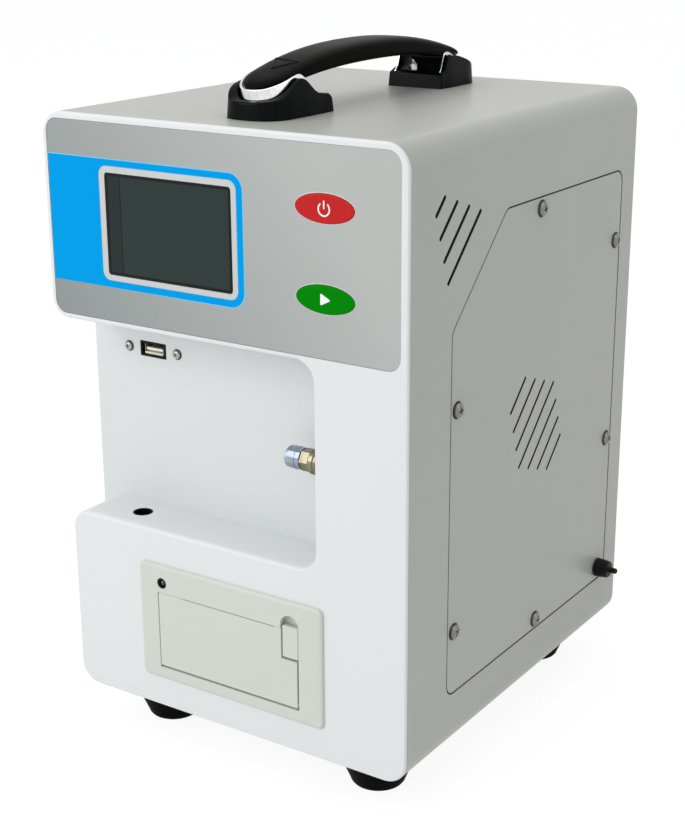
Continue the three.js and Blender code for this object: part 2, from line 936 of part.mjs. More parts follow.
function makeSamplePort() {
  const collarEnd = bayRight - seatGap;
  const collarStart = collarEnd - portCollarLength;
  const bodyStart = collarStart - portBodyLength;
  const backNut = bayRight + mouldWall + seatGap;
  const threadEnd = bayRight + portThreadLength;
  const turned = aboutX([
    [portBore, portTip + nutLip],
    [portSpigotRadius, portTip + nutLip],
    [portSpigotRadius, bodyStart],
    [portBodyRadius - portChamfer, bodyStart],
    [portBodyRadius, bodyStart + portChamfer],
    [portBodyRadius, collarStart],
    [portCollarRadius - portChamfer, collarStart],
    [portCollarRadius, collarStart + portChamfer],
    [portCollarRadius, collarEnd],
    [portThreadRadius, collarEnd],
    [portThreadRadius, threadEnd],
    [portBore, threadEnd],
    [portBore, portTip + nutLip],
  ], portY, portZ);
  const nut = cut(
    rodX(portBackNutRadius, backNut, backNut + portBackNutThickness, portY, portZ, 6),
    rodX(portBore + portBore, backNut - overrun, backNut + portBackNutThickness + overrun, portY, portZ),
  );
  return joined(turned, nut);
}

function makeSampleNut() {
  const end = portTip + nutLength;
  const bore = portSpigotRadius + seatGap;
  const turned = aboutX([
    [nutMouthRadius, portTip],
    [nutRadius - nutLip, portTip],
    [nutRadius, portTip + nutLip],
    [nutRadius, end],
    [bore, end],
    [bore, portTip + nutLip - seatGap],
    [nutMouthRadius, portTip + nutLip - seatGap],
    [nutMouthRadius, portTip],
  ], portY, portZ);
  const flutes = 12;
  const cutters = [];
  for (let i = 0; i < flutes; i += 1) {
    const angle = (2 * Math.PI * i) / flutes;
    const reach = nutRadius + nutFluteWidth - nutFluteDepth;
    const y = portY + reach * Math.cos(angle);
    const z = portZ + reach * Math.sin(angle);
    cutters.push(rodX(nutFluteWidth, portTip - overrun, end - nutLip, y, z, 6));
  }
  return cut(turned, ...cutters);
}

// Panel printer

function printerNeck(margin, front, back) {
  const step = printerNeckMargin - margin;
  return plateXZ(
    rounded(
      printerLeft + step,
      printerRight - step,
      printerBottom + step,
      printerTop - step,
      printerCorner,
    ),
    front,
    back,
  );
}

function latchPocket() {
  const archCentre = fingerArchTop - latchWidth / 2;
  const low = latchBottom - doorGap;
  const plan = new THREE.Shape();
  plan.moveTo(latchLeft, low);
  plan.lineTo(latchRight + doorGap, low);
  plan.lineTo(latchRight + doorGap, archCentre);
  const round = (latchWidth + doorGap) / 2;
  plan.absarc(latchLeft + round, archCentre, round, 0, Math.PI);
  plan.closePath();
  return plateXZ(plan, -printerProud - overrun, latchPocketDepth);
}

function makePrinterFrame() {
  const bezel = roundedPlateXZ(
    rounded(printerLeft, printerRight, printerBottom, printerTop, printerCorner),
    -printerProud,
    0,
    printerBevelDeep,
    printerBevelAcross,
  );
  const neck = printerNeck(0, 0, printerNeckDepth);
  const rearRoom = plateXZ(
    rounded(
      printerLeft + printerNeckMargin + housingWall,
      printerRight - printerNeckMargin - housingWall,
      printerBottom + printerNeckMargin + housingWall,
      printerTop - printerNeckMargin - housingWall,
      printerCorner,
    ),
    latchPocketDepth + housingWall,
    printerNeckDepth + overrun,
  );
  const doorway = slab(
    doorLeft,
    doorRight,
    -printerProud - overrun,
    printerNeckDepth + overrun,
    doorBottom,
    doorTop,
  );
  const latchFloor = slab(
    latchLeft - doorGap,
    latchRight + doorGap + housingWall,
    latchPocketDepth,
    latchPocketDepth + housingWall,
    latchBottom - doorGap,
    fingerArchTop + housingWall,
  );
  const open = cut(joined(bezel, neck), rearRoom, doorway, latchPocket());
  const reach = pivotReach + seatGap;
  const bearing = pivotRadius + seatGap;
  return cut(
    joined(open, latchFloor),
    rodY(lampRadius + seatGap, -printerProud - overrun, printerNeckDepth, lampX, lampZ, 16),
    rodX(bearing, doorLeft - reach, doorRight + reach, doorPivotY, doorPivotZ, 12),
    rodX(bearing, latchRight - reach, latchRight + doorGap + reach, latchPivotY, latchPivotZ, 12),
  );
}

function makePrinterDoor() {
  const front = doorFront;
  const back = front + doorThickness;
  const low = doorBottom + doorLowerGap;
  const high = doorTop - doorGap;
  const left = doorLeft + doorGap;
  const right = doorRight - doorLowerGap;
  const plan = outline([
    [left, low, doorGap],
    [right, low, doorGap],
    [right, latchBottom - doorGap - doorLowerGap, doorGap],
    [latchLeft - doorGap, latchBottom - doorGap - doorLowerGap, doorGap],
    [latchLeft - doorGap, high, 0],
    [slotRight, high, 0],
    [slotRight, high - slotHeight, 0],
    [slotLeft, high - slotHeight, 0],
    [slotLeft, high, 0],
    [left, high, doorGap],
  ]);
  const skin = plateXZ(plan, front, back);
  const platenY = platenBehindDoor;
  const platenZ = doorTop - platenBelowTop;
  const ear = (x) => {
    const plate = plateYZ(outline([
      [back - doorGap, platenZ - earReach * earRootShare, 0],
      [platenY + earReach, platenZ - earReach, earReach / 2],
      [platenY + earReach, platenZ + earReach, earReach / 2],
      [back - doorGap, platenZ + earReach, 0],
    ]), x, x + earThickness);
    const hole = rodX(platenAxleRadius + seatGap, x - overrun, x + earThickness + overrun, platenY, platenZ, 12);
    return cut(plate, hole);
  };
  const leftEar = slotLeft - earThickness;
  const rightEar = slotRight;
  const pivot = rodX(
    pivotRadius,
    left - doorGap - pivotReach,
    right + doorLowerGap + pivotReach,
    doorPivotY,
    doorPivotZ,
    12,
  );
  const ribs = [];
  for (const share of doorRibShares) {
    const x = left + (right - left) * share;
    ribs.push(slab(
      x - doorGap,
      x + doorGap,
      back - doorGap,
      back + doorRibDepth,
      low + doorRibInset,
      platenZ - earReach,
    ));
  }
  return joined(skin, ear(leftEar), ear(rightEar), pivot, ...ribs);
}

function makePrinterLatch() {
  const front = doorFront;
  const tab = plateXZ(
    outline([
      [latchLeft + doorGap, latchBottom, doorGap],
      [latchRight, latchBottom, doorGap],
      [latchRight, latchBottom + latchHeight, doorGap],
      [latchLeft + doorGap, latchBottom + latchHeight, doorGap],
    ]),
    front,
    front + latchThickness,
  );
  const barrel = rodX(latchPivotRadius, latchLeft + doorGap, latchRight, latchPivotY, latchPivotZ, 12);
  const pivot = rodX(
    pivotRadius,
    latchRight - pivotReach,
    latchRight + doorGap + pivotReach,
    latchPivotY,
    latchPivotZ,
    12,
  );
  const hook = slab(
    latchLeft + latchWidth / 3,
    latchRight - latchWidth / 3,
    front + latchThickness - doorGap,
    latchPocketDepth - seatGap - doorGap,
    latchBottom + latchHeight / 3,
    latchBottom + latchHeight / 2,
  );
  return joined(tab, barrel, pivot, hook);
}

// The lamp's dome: how wide its flat is, and how far back its two edges stand, in shares of its radius
const lampFlatShare = 0.6;
const lampFlatBackShare = 0.2;
const lampEdgeBackShare = 0.8;

function makePrinterLamp() {
  const front = -printerProud + lampSink;
  return aboutY([
    [0, front],
    [lampRadius * lampFlatShare, front + lampRadius * lampFlatBackShare],
    [lampRadius, front + lampRadius * lampEdgeBackShare],
    [lampRadius, front + lampLength],
    [0, front + lampLength],
  ], lampX, lampZ, 16);
}

const housingLeft = printerLeft + housingSideMargin;
const housingRight = printerRight - housingSideMargin;
const housingBottom = printerBottom + housingTopMargin;
const housingTop = printerTop - housingTopMargin;
const housingFront = printerNeckDepth + seatGap;
const housingBack = housingFront + housingDepth;
const rollZ = housingBottom + housingWall + rollRadius + rollRaise;
const rollY = rollBehindDoor;

function makePrinterHousing() {
  const shell = slab(housingLeft, housingRight, housingFront, housingBack, housingBottom, housingTop);
  const bay = slab(
    housingLeft + housingWall,
    housingRight - housingWall,
    housingFront - overrun,
    housingBack - housingWall,
    housingBottom + housingWall,
    housingTop - housingWall,
  );
  const ears = (x) => slab(
    x,
    x + housingWall,
    housingFront,
    rollY + rollBore,
    housingBottom + housingWall / 2,
    rollZ + rollBore,
  );
  const pegRadius = rollBore - slideGap;
  const leftGuide = slotMiddle - rollWidth / 2 - slideGap - housingWall;
  const rightGuide = slotMiddle + rollWidth / 2 + slideGap;
  const pegs = joined(
    rodX(pegRadius, leftGuide, leftGuide + housingWall * 2, rollY, rollZ, 16),
    rodX(pegRadius, rightGuide - housingWall, rightGuide + housingWall, rollY, rollZ, 16),
  );
  return joined(cut(shell, bay), ears(leftGuide), ears(rightGuide), pegs);
}

function makePaperRoll() {
  const left = slotMiddle - rollWidth / 2;
  return aboutX([
    [rollBore, left],
    [rollRadius, left],
    [rollRadius, left + rollWidth],
    [rollBore, left + rollWidth],
    [rollBore, left],
  ], rollY, rollZ, 32);
}

function makePlaten() {
  const z = doorTop - platenBelowTop;
  const half = platenLength / 2;
  const axle = half + platenAxleReach;
  return aboutX([
    [0, slotMiddle - axle],
    [platenAxleRadius, slotMiddle - axle],
    [platenAxleRadius, slotMiddle - half],
    [platenRadius, slotMiddle - half],
    [platenRadius, slotMiddle + half],
    [platenAxleRadius, slotMiddle + half],
    [platenAxleRadius, slotMiddle + axle],
    [0, slotMiddle + axle],
  ], platenBehindDoor, z, 20);
}

// The print head presses on the roller from above and hangs from the roof of the paper bay
function makePrintHead() {
  const low = doorTop - platenBelowTop + platenRadius + seatGap;
  const left = slotMiddle - platenLength / 2;
  const right = slotMiddle + platenLength / 2;
  const front = platenBehindDoor;
  const hangerFront = housingFront + seatGap;
  const hangerBack = hangerFront + headHangerThickness;
  const roof = housingTop - housingWall;
  return joined(
    slab(left, right, front, hangerBack, low, low + headBlockHeight),
    slab(left, right, hangerFront, hangerBack, low, roof - seatGap),
  );
}

// Service panel, its flange, its screws and the vents

function panelOutline(margin) {
  const front = panelFront - margin;
  const rear = panelRear + margin;
  const low = panelBottom - margin;
  const high = panelTop + margin;
  const slant = margin * (1 - Math.tan(Math.PI / 8));
  const radius = Math.max(panelCorner + margin, caseWall);
  return outline([
    [front, low, radius],
    [rear, low, radius],
    [rear, high, radius],
    [panelFront + panelChamferAlong - margin + slant, high, radius],
    [front, panelTop - panelChamferUp + margin - slant, radius],
  ]);
}

// Where the six screws stand: on which edge, and the share of the way along it
const panelScrewShares = [
  ['top', 0.477],
  ['rear', 0.841],
  ['rear', 0.361],
  ['bottom', 0.517],
  ['front', 0.144],
  ['front', 0.627],
];

function panelScrewPlaces() {
  const along = (share) => panelFront + (panelRear - panelFront) * share;
  const up = (share) => panelBottom + (panelTop - panelBottom) * share;
  const places = {
    top: (share) => [along(share), panelTop - screwInset],
    bottom: (share) => [along(share), panelBottom + screwInset],
    rear: (share) => [panelRear - screwInset, up(share)],
    front: (share) => [panelFront + screwInset, up(share)],
  };
  return panelScrewShares.map(([edge, share]) => places[edge](share));
}

const outletY = panelRear - outletFromRear;
const outletZ = panelBottom + outletAboveBottom;

function sideHoles(left, right) {
  const holes = panelScrewPlaces().map(([y, z]) => rodX(screwHoleRadius, left, right, y, z, 12));
  holes.push(rodX(outletThreadRadius + seatGap, left, right, outletY, outletZ, 16));
  return holes;
}

const ventRoundShare = 0.45;

function ventSlot(y, z, half, width) {
  const run = half * Math.SQRT1_2;
  const wide = (width / 2) * Math.SQRT1_2;
  const radius = width * ventRoundShare;
  return plateYZ(outline([
    [y - run + wide, z - run - wide, radius],
    [y + run + wide, z + run - wide, radius],
    [y + run - wide, z + run + wide, radius],
    [y - run - wide, z - run + wide, radius],
  ]), bodyWidth - caseWall - overrun, bodyWidth + overrun, 1);
}

function caseVents() {
  const slots = [];
  for (let i = 0; i < caseVentCount; i += 1) {
    const step = i * caseVentPitch * Math.SQRT1_2;
    const half = caseVentHalf + i * caseVentGrowth;
    slots.push(ventSlot(caseVentY + step, bodyHeight - caseVentDrop - step, half, caseVentWidth));
  }
  return slots;
}

function panelVents() {
  const slots = [];
  const y = panelFront + (panelRear - panelFront) * panelVentAlongShare;
  const z = panelBottom + (panelTop - panelBottom) * panelVentUpShare;
  for (let i = -panelVentSides; i <= panelVentSides; i += 1) {
    const step = i * panelVentPitch * Math.SQRT1_2;
    const half = panelVentHalf - Math.abs(i) * panelVentShrink;
    slots.push(ventSlot(y + step, z - step, half, panelVentWidth));
  }
  return slots;
}

function makeAccessPanel() {
  const sheet = plateYZ(panelOutline(0), bodyWidth - caseWall, bodyWidth);
  return cut(sheet, ...sideHoles(bodyWidth - caseWall - overrun, bodyWidth + overrun), ...panelVents());
}

function makeAccessScrews() {
  panelScrewPlaces().forEach(([y, z], i) => {
    addScrew(`access_screw_${i + 1}`, [bodyWidth + seatGap / 3, y, z], facingRight, false);
  });
}

// Case: one welded wrap of sheet, open in front and behind

function caseOutline(inset) {
  const radius = Math.max(caseCorner - inset, caseWall);
  return rounded(inset, bodyWidth - inset, inset, bodyHeight - inset, radius);
}

function rearScrewPlaces() {
  const low = inside + rearScrewInset;
  return [
    [low, low],
    [bodyWidth - low, low],
    [bodyWidth - low, bodyHeight - low],
    [low, bodyHeight - low],
  ];
}

function makeCaseShell() {
  const wrap = cut(
    plateXZ(caseOutline(0), caseFront, bodyDepth),
    plateXZ(caseOutline(caseWall), caseFront - overrun, bodyDepth + overrun),
  );
  const flangeBack = rearPanelFront - seatGap;
  const flangeFront = flangeBack - caseWall;
  const flange = cut(
    plateXZ(caseOutline(caseWall / 2), flangeFront, flangeBack),
    plateXZ(caseOutline(caseWall + rearFlange), flangeFront - overrun, flangeBack + overrun),
    ...rearScrewPlaces().map(([x, z]) => rodY(
      screwHoleRadius,
      flangeFront - overrun,
      flangeBack + overrun,
      x,
      z,
      12,
    )),
  );
  const wallInner = bodyWidth - caseWall;
  const seat = wallInner - seatGap;
  const seatInner = seat - caseWall;
  const joggle = cut(
    plateYZ(panelOutline(joggleOut), seatInner, wallInner + caseWall / 2),
    plateYZ(panelOutline(-joggleIn), seatInner - overrun, wallInner + overrun),
    plateYZ(panelOutline(panelGap), seat, wallInner + overrun),
    ...sideHoles(seatInner - overrun, seat + overrun),
  );
  const notch = slab(
    -overrun,
    lowerWrap,
    caseFront - overrun,
    liningBack + seatGap,
    -overrun,
    bayTop + headLowerCorner,
  );
  const opening = plateYZ(panelOutline(panelGap), wallInner - overrun, bodyWidth + overrun);
  const holed = cut(wrap, notch, opening, ...caseVents());
  return joined(holed, flange, joggle);
}

const outletRoundShare = 0.4;

function makeGasOutlet() {
  const seat = bodyWidth + seatGap;
  const collarEnd = seat + outletCollarLength;
  const tip = collarEnd + outletStubLength;
  const round = outletStubRadius * outletRoundShare;
  const inner = bodyWidth - outletThreadLength;
  const turned = aboutX([
    [outletBore, inner],
    [outletThreadRadius, inner],
    [outletThreadRadius, seat],
    [outletCollarRadius - outletCollarTaper, seat],
    [outletCollarRadius, seat + outletCollarTaper],
    [outletCollarRadius - outletCollarTaper, collarEnd - outletCollarTaper],
    [outletCollarRadius - outletCollarTaper * 2, collarEnd],
    [outletStubRadius, collarEnd],
    [outletStubRadius, tip - round],
    [outletStubRadius - round, tip],
    [outletBore, tip],
    [outletBore, inner],
  ], outletY, outletZ, 20);
  const nutOuter = bodyWidth - caseWall - seatGap - caseWall - seatGap;
  const nut = rodX(outletNutRadius, nutOuter - outletNutThickness, nutOuter, outletY, outletZ, 6);
  const nutHole = rodX(
    (outletThreadRadius + outletBore) / 2,
    nutOuter - outletNutThickness - overrun,
    nutOuter + overrun,
    outletY,
    outletZ,
    16,
  );
  return joined(turned, cut(nut, nutHole));
}

// Feet

// Where the foot's flank leaves its base round, and where it turns out to its top
const footRoundShare = 0.3;
const footFlankHeightShare = 0.75;
const footFlankReachShare = 0.78;

function makeFoot(name, x, y) {
  const flare = footHeight * footFlankHeightShare;
  const mesh = add(name, toGeometry(aboutZ([
    [0, footRecessDepth],
    [footRecessRadius, footRecessDepth],
    [footRecessRadius, 0],
    [footBaseRadius - footBaseRound, 0],
    [footBaseRadius - footBaseRound * footRoundShare, footBaseRound * footRoundShare],
    [footBaseRadius, footBaseRound],
    [footBaseRadius + (footTopRadius - footBaseRadius) * footFlankReachShare, flare],
    [footTopRadius, footHeight - footBaseRound / 3],
    [footTopRadius, footHeight],
    [0, footHeight],
  ], 0, 0, 20)), 'rubber');
  mesh.position.set(x, y, -footHeight - seatGap / 3);
}

function makeFeet() {
  const right = bodyWidth - footFromRight;
  const rear = bodyDepth - footFromRear;
  makeFoot('foot_front_left', footFromLeft, footFromFront);
  makeFoot('foot_front_right', right, footFromFront);
  makeFoot('foot_rear_left', footFromLeft, rear);
  makeFoot('foot_rear_right', right, rear);
}

// Handle. The grip is a loft of flattened rounds along an arch. Its plan, grown by a margin, cuts the
// pockets of the end blocks and makes the bright collars that line them.

const handleMiddle = handleFront + handleLength / 2;
const gripHalf = handleLength / 2 - gripEndInset;

const handleBase = bodyHeight + seatGap / 3;
const blockTopShares = [
  [0, 0.43], [0.02, 0.5], [0.08, 0.53], [0.17, 0.62], [0.25, 0.77], [0.35, 0.94], [0.46, 1],
  [0.57, 0.92], [0.67, 0.73], [0.77, 0.55], [0.86, 0.5], [0.95, 0.48], [1, 0.36],
];
const collarTopShares = [
  [0, 0.77], [0.1, 0.8], [0.2, 0.89], [0.33, 1.01], [0.5, 1.08], [0.6, 1], [0.7, 0.79],
  [0.8, 0.58], [1, 0.55],
];

// The grip at a place along it, its plan grown by a margin
function gripSection(along, margin) {
  const fromEnd = Math.min(1, (gripHalf + margin - Math.abs(along)) / gripNoseLength);
  const bend = Math.min(1, (along / gripHalf) ** 2);
  const top = bodyHeight + gripCrest - gripDrop * bend;
  const bottom = bodyHeight + gripCrest - gripThickness - gripUnderDrop * bend;
  const width = gripWidth - (gripWidth - gripEndWidth) * bend + margin * 2;
  return {
    half: Math.sqrt(Math.max(0, 1 - (1 - fromEnd) ** 2)) * width / 2,
    middle: (top + bottom) / 2,
    tall: Math.sqrt(Math.max(0, 1 - (1 - fromEnd) ** gripNosePower)) * (top - bottom) / 2,
  };
}

// The grip's outline seen from above, grown by a margin
function gripPlan(margin) {
  const stations = 22;
  const reach = gripHalf + margin;
  const right = [];
  const left = [];
  for (let i = 0; i <= stations; i += 1) {
    const along = reach * Math.sin(((2 * i) / stations - 1) * Math.PI / 2);
    const { half } = gripSection(along, margin);
    right.push([handleX + half, handleMiddle + along, 0]);
    if (i > 0 && i < stations) left.unshift([handleX - half, handleMiddle + along, 0]);
  }
  return outline([...right, ...left]);
}

function gripLoft() {
  const stations = 20;
  const around = 16;
  const positions = [];
  const ring = (share) => {
    const along = gripHalf * Math.sin(share * Math.PI / 2);
    const { half, middle, tall } = gripSection(along, 0);
    const points = [];
    for (let j = 0; j < around; j += 1) {
      const angle = (2 * Math.PI * j) / around;
      const c = Math.cos(angle);
      const s = Math.sin(angle);
      const wide = Math.sign(c) * Math.abs(c) ** (2 / gripSquareness);
      const high = Math.sign(s) * Math.abs(s) ** (2 / gripSquareness);
      points.push(new THREE.Vector3(
        handleX + wide * half,
        handleMiddle + along,
        middle + high * tall,
      ));
    }
    return points;
  };
  const triangle = (a, b, c) => positions.push(...a.toArray(), ...b.toArray(), ...c.toArray());
  const rings = [];
  for (let i = 1; i < stations; i += 1) {
    rings.push(ring(-1 + (2 * i) / stations));
  }
  const centre = (points) => points
    .reduce((sum, point) => sum.add(point), new THREE.Vector3())
    .multiplyScalar(1 / points.length);
  for (let i = 0; i + 1 < rings.length; i += 1) {
    for (let j = 0; j < around; j += 1) {
      const k = (j + 1) % around;
      triangle(rings[i][j], rings[i + 1][k], rings[i][k]);
      triangle(rings[i][j], rings[i + 1][j], rings[i + 1][k]);
    }
  }
  const first = rings[0];
  const last = rings[rings.length - 1];
  const firstTip = centre(first);
  const lastTip = centre(last);
  firstTip.y = handleMiddle - gripHalf;
  lastTip.y = handleMiddle + gripHalf;
  for (let j = 0; j < around; j += 1) {
    const k = (j + 1) % around;
    triangle(firstTip, first[j], first[k]);
    triangle(lastTip, last[k], last[j]);
  }
  const geometry = new THREE.BufferGeometry();
  geometry.setAttribute('position', new THREE.Float32BufferAttribute(positions, 3));
  return toSolid(geometry);
}

function turnedAbout(solid) {
  const geometry = toGeometry(solid);
  geometry.translate(-handleX, -handleMiddle, 0).rotateZ(Math.PI).translate(handleX, handleMiddle, 0);
  return toSolid(geometry);
}

// What lies below a curved top line, from the front of the block to a place behind it
function belowLine(shares, reach) {
  const line = shares.map(([along, up]) => new THREE.Vector2(
    handleFront + reach * along,
    handleBase + blockHump * up,
  ));
  const side = new THREE.Shape();
  side.moveTo(handleFront, handleBase);
  side.lineTo(line[0].x, line[0].y);
  side.splineThru(line.slice(1));
  side.lineTo(handleFront + reach, handleBase);
  return plateYZ(side, handleX - blockWidth / 2, handleX + blockWidth / 2, 2);
}

// An end block: round nose, two side walls that rise beside the grip, and a pocket between them
function makeHandleBlock() {
  const end = handleFront + blockLength;
  const left = handleX - blockWidth / 2;
  const right = handleX + blockWidth / 2;
  const nose = blockWidth / 2;
  const plan = new THREE.Shape();
  plan.moveTo(right, handleFront + nose);
  plan.lineTo(right, end);
  plan.lineTo(left, end);
  plan.lineTo(left, handleFront + nose);
  plan.absarc(handleX, handleFront + nose, nose, Math.PI, 2 * Math.PI);
  const prism = plateXY(plan, handleBase, handleBase + blockHump + overrun, 8);
  const pocketHigh = handleBase + blockHump + overrun * 2;
  const pocket = plateXY(
    gripPlan(collarWall + seatGap * 2),
    handleBase + pocketFloor,
    pocketHigh,
  );
  const pocketRoom = slab(left, right, handleFront, end - blockEndWall, handleBase, pocketHigh);
  return cut(belowLine(blockTopShares, blockLength).intersect(prism), pocket.intersect(pocketRoom));
}

// A bright collar: a bowl that lines the pocket and stands a little above it
function makeCollar() {
  const low = handleBase + pocketFloor + seatGap;
  const high = handleBase + blockHump + overrun;
  const bowl = cut(
    plateXY(gripPlan(collarWall + seatGap), low, high),
    plateXY(gripPlan(seatGap), low + collarWall, high + overrun),
  );
  return bowl.intersect(belowLine(collarTopShares, blockLength - blockEndWall - seatGap));
}

function makeHandle() {
  const block = makeHandleBlock();
  const collar = makeCollar();
  add('handle_front_block', block, 'black');
  add('handle_rear_block', turnedAbout(block), 'black');
  add('handle_front_collar', collar, 'chrome');
  add('handle_rear_collar', turnedAbout(collar), 'chrome');
  add('handle_grip', gripLoft(), 'black');
}

// Back panel, mains inlet and fan

function inletOutline(margin) {
  const half = inletWidth / 2 - margin;
  return rounded(
    inletX - half,
    inletX + half,
    inletBottom + margin,
    inletBottom + inletHeight - margin,
    inletCorner,
  );
}

function fanScrewPlaces() {
  const half = fanScrewSpread / 2;
  return [[-half, -half], [half, -half], [half, half], [-half, half]].map(([x, z]) => [fanX + x, fanZ + z]);
}

function makeRearPanel() {
  const sheet = plateXZ(caseOutline(inside), rearPanelFront, rearPanelBack);
  const front = rearPanelFront - overrun;
  const back = rearPanelBack + overrun;
  const holes = [...rearScrewPlaces(), ...fanScrewPlaces()].map(([x, z]) => rodY(
    screwHoleRadius,
    front,
    back,
    x,
    z,
    12,
  ));
  return cut(
    sheet,
    plateXZ(inletOutline(inletBodyMargin - seatGap), front, back),
    rodY(fanBoreRadius, front, back, fanX, fanZ, 40),
    ...holes,
  );
}

function makeRearScrews() {
  rearScrewPlaces().forEach(([x, z], i) => {
    addScrew(`rear_screw_${i + 1}`, [x, rearPanelBack + seatGap / 3, z], facingBack, false);
  });
}

function socketOutline(grow) {
  const half = socketWidth / 2 + grow;
  const low = inletBottom + socketRaise - grow;
  const high = low + socketHeight + grow * 2;
  return outline([
    [inletX - half, low, socketCorner],
    [inletX + half, low, socketCorner],
    [inletX + half, high - socketChamfer, socketCorner],
    [inletX + half - socketChamfer, high, socketCorner],
    [inletX - half + socketChamfer, high, socketCorner],
    [inletX - half, high - socketChamfer, socketCorner],
  ]);
}

const inletFace = rearPanelBack + inletFlangeThickness;
const fuseLow = inletBottom + fuseRaise;
const rockerLow = inletBottom + rockerRaise;
const rockerMiddle = rockerLow + rockerHeight / 2;
const rockerPivotY = inletFace - rockerPivotDepth;

function makeMainsInlet() {
  const flange = plateXZ(inletOutline(0), rearPanelBack, inletFace);
  const bodyFront = rearPanelBack - inletBodyDepth;
  const block = plateXZ(inletOutline(inletBodyMargin), bodyFront, inletFace - seatGap);
  const socket = plateXZ(socketOutline(0), inletFace - socketDepth, inletFace + overrun);
  const fuseRoom = slab(
    inletX - fuseWidth / 2 - slideGap,
    inletX + fuseWidth / 2 + slideGap,
    inletFace - fuseDepth - slideGap,
    inletFace + overrun,
    fuseLow - slideGap,
    fuseLow + fuseHeight + slideGap,
  );
  const rockerRoom = slab(
    inletX - rockerWidth / 2 - slideGap,
    inletX + rockerWidth / 2 + slideGap,
    inletFace - rockerDepth - slideGap,
    inletFace + overrun,
    rockerLow - slideGap,
    rockerLow + rockerHeight + slideGap,
  );
  const pin = (x, z, wide, high) => slab(
    x - wide / 2,
    x + wide / 2,
    inletFace - socketDepth - overrun / 2,
    inletFace - socketDepth + pinLength,
    z - high / 2,
    z + high / 2,
  );
  const middle = inletBottom + socketRaise + socketHeight / 2;
  return joined(
    cut(joined(flange, block), socket, fuseRoom, rockerRoom),
    pin(inletX - pinSpread / 2, middle - pinOffset / 2, pinWidth, pinHeight),
    pin(inletX + pinSpread / 2, middle - pinOffset / 2, pinWidth, pinHeight),
    pin(inletX, middle + pinOffset, pinWidth, pinHeight),
  );
}

function makeFuseDrawer() {
  const left = inletX - fuseWidth / 2;
  const right = inletX + fuseWidth / 2;
  const face = inletFace + fuseLip;
  const tray = slab(left, right, inletFace - fuseDepth, inletFace, fuseLow, fuseLow + fuseHeight);
  const lip = slab(left, right, inletFace - fuseLip, face, fuseLow, fuseLow + fuseHeight / 3);
  const fuseSlot = slab(
    left + fuseLip * 2,
    right - fuseLip * 2,
    inletFace - fuseDepth + fuseLip,
    inletFace - fuseLip * 2,
    fuseLow + fuseHeight / 3,
    fuseLow + fuseHeight + overrun,
  );
  return cut(joined(tray, lip), fuseSlot);
}

const rockerTilt = THREE.MathUtils.degToRad(9);
const rockerRootShare = 0.55;
const rockerWaistShare = 0.35;

function makeRocker() {
  const half = rockerHeight / 2 - slideGap;
  const flank = outline([
    [-rockerDepth + rockerPivotDepth + slideGap, -half * rockerRootShare, 0],
    [rockerPivotDepth, -half, 0],
    [rockerPivotDepth + rockerProud, -half, 0],
    [rockerPivotDepth + rockerProud * rockerWaistShare, 0, 0],
    [rockerPivotDepth + rockerProud, half, 0],
    [rockerPivotDepth, half, 0],
    [-rockerDepth + rockerPivotDepth + slideGap, half * rockerRootShare, 0],
  ]);
  const left = -rockerWidth / 2;
  const geometry = extruded(flank, rockerWidth, 3).applyMatrix4(alongX).translate(left, 0, 0);
  geometry.rotateX(rockerTilt).translate(inletX, rockerPivotY, rockerMiddle);
  return toSolid(geometry);
}

const fanBack = rearPanelFront - seatGap;
const fanFront = fanBack - fanDepth;

function fanSquare() {
  const half = fanSize / 2;
  return rounded(fanX - half, fanX + half, fanZ - half, fanZ + half, fanCorner);
}

const fanStrutShare = 1.5;
const strutBack = fanFront + fanRim * fanStrutShare;

function makeFanFrame() {
  const hole = ([x, z]) => rodY(screwHoleRadius, fanFront - overrun, fanBack + overrun, x, z, 10);
  const ring = cut(
    plateXZ(fanSquare(), fanFront, fanBack),
    rodY(fanBoreRadius, fanFront - overrun, fanBack + overrun, fanX, fanZ, 40),
    ...fanScrewPlaces().map(hole),
  );
  const strut = (wide, tall) => slab(
    fanX - wide / 2,
    fanX + wide / 2,
    fanFront,
    strutBack,
    fanZ - tall / 2,
    fanZ + tall / 2,
  );
  const reach = fanBoreRadius * 2 + fanRim;
  return joined(
    ring,
    strut(reach, fanStrutWidth),
    strut(fanStrutWidth, reach),
    rodY(fanHubRadius - fanRim, fanFront, strutBack, fanX, fanZ, 24),
  );
}

function makeFanRotor() {
  const front = strutBack + slideGap;
  const back = fanBack - fanRim;
  const hub = aboutY([
    [0, front],
    [fanHubRadius, front],
    [fanHubRadius, back - fanRim],
    [fanHubRadius - fanRim, back],
    [0, back],
  ], fanX, fanZ, 28);
  const tip = fanBoreRadius - fanTipGap;
  const steps = 5;
  const blades = [];
  for (let i = 0; i < fanBladeCount; i += 1) {
    blades.push(fanBlade(front + fanRim / 2, back - fanRim, tip, steps, (2 * Math.PI * i) / fanBladeCount));
  }
  return joined(hub, ...blades);
}

const bladeTwistShare = 0.25;

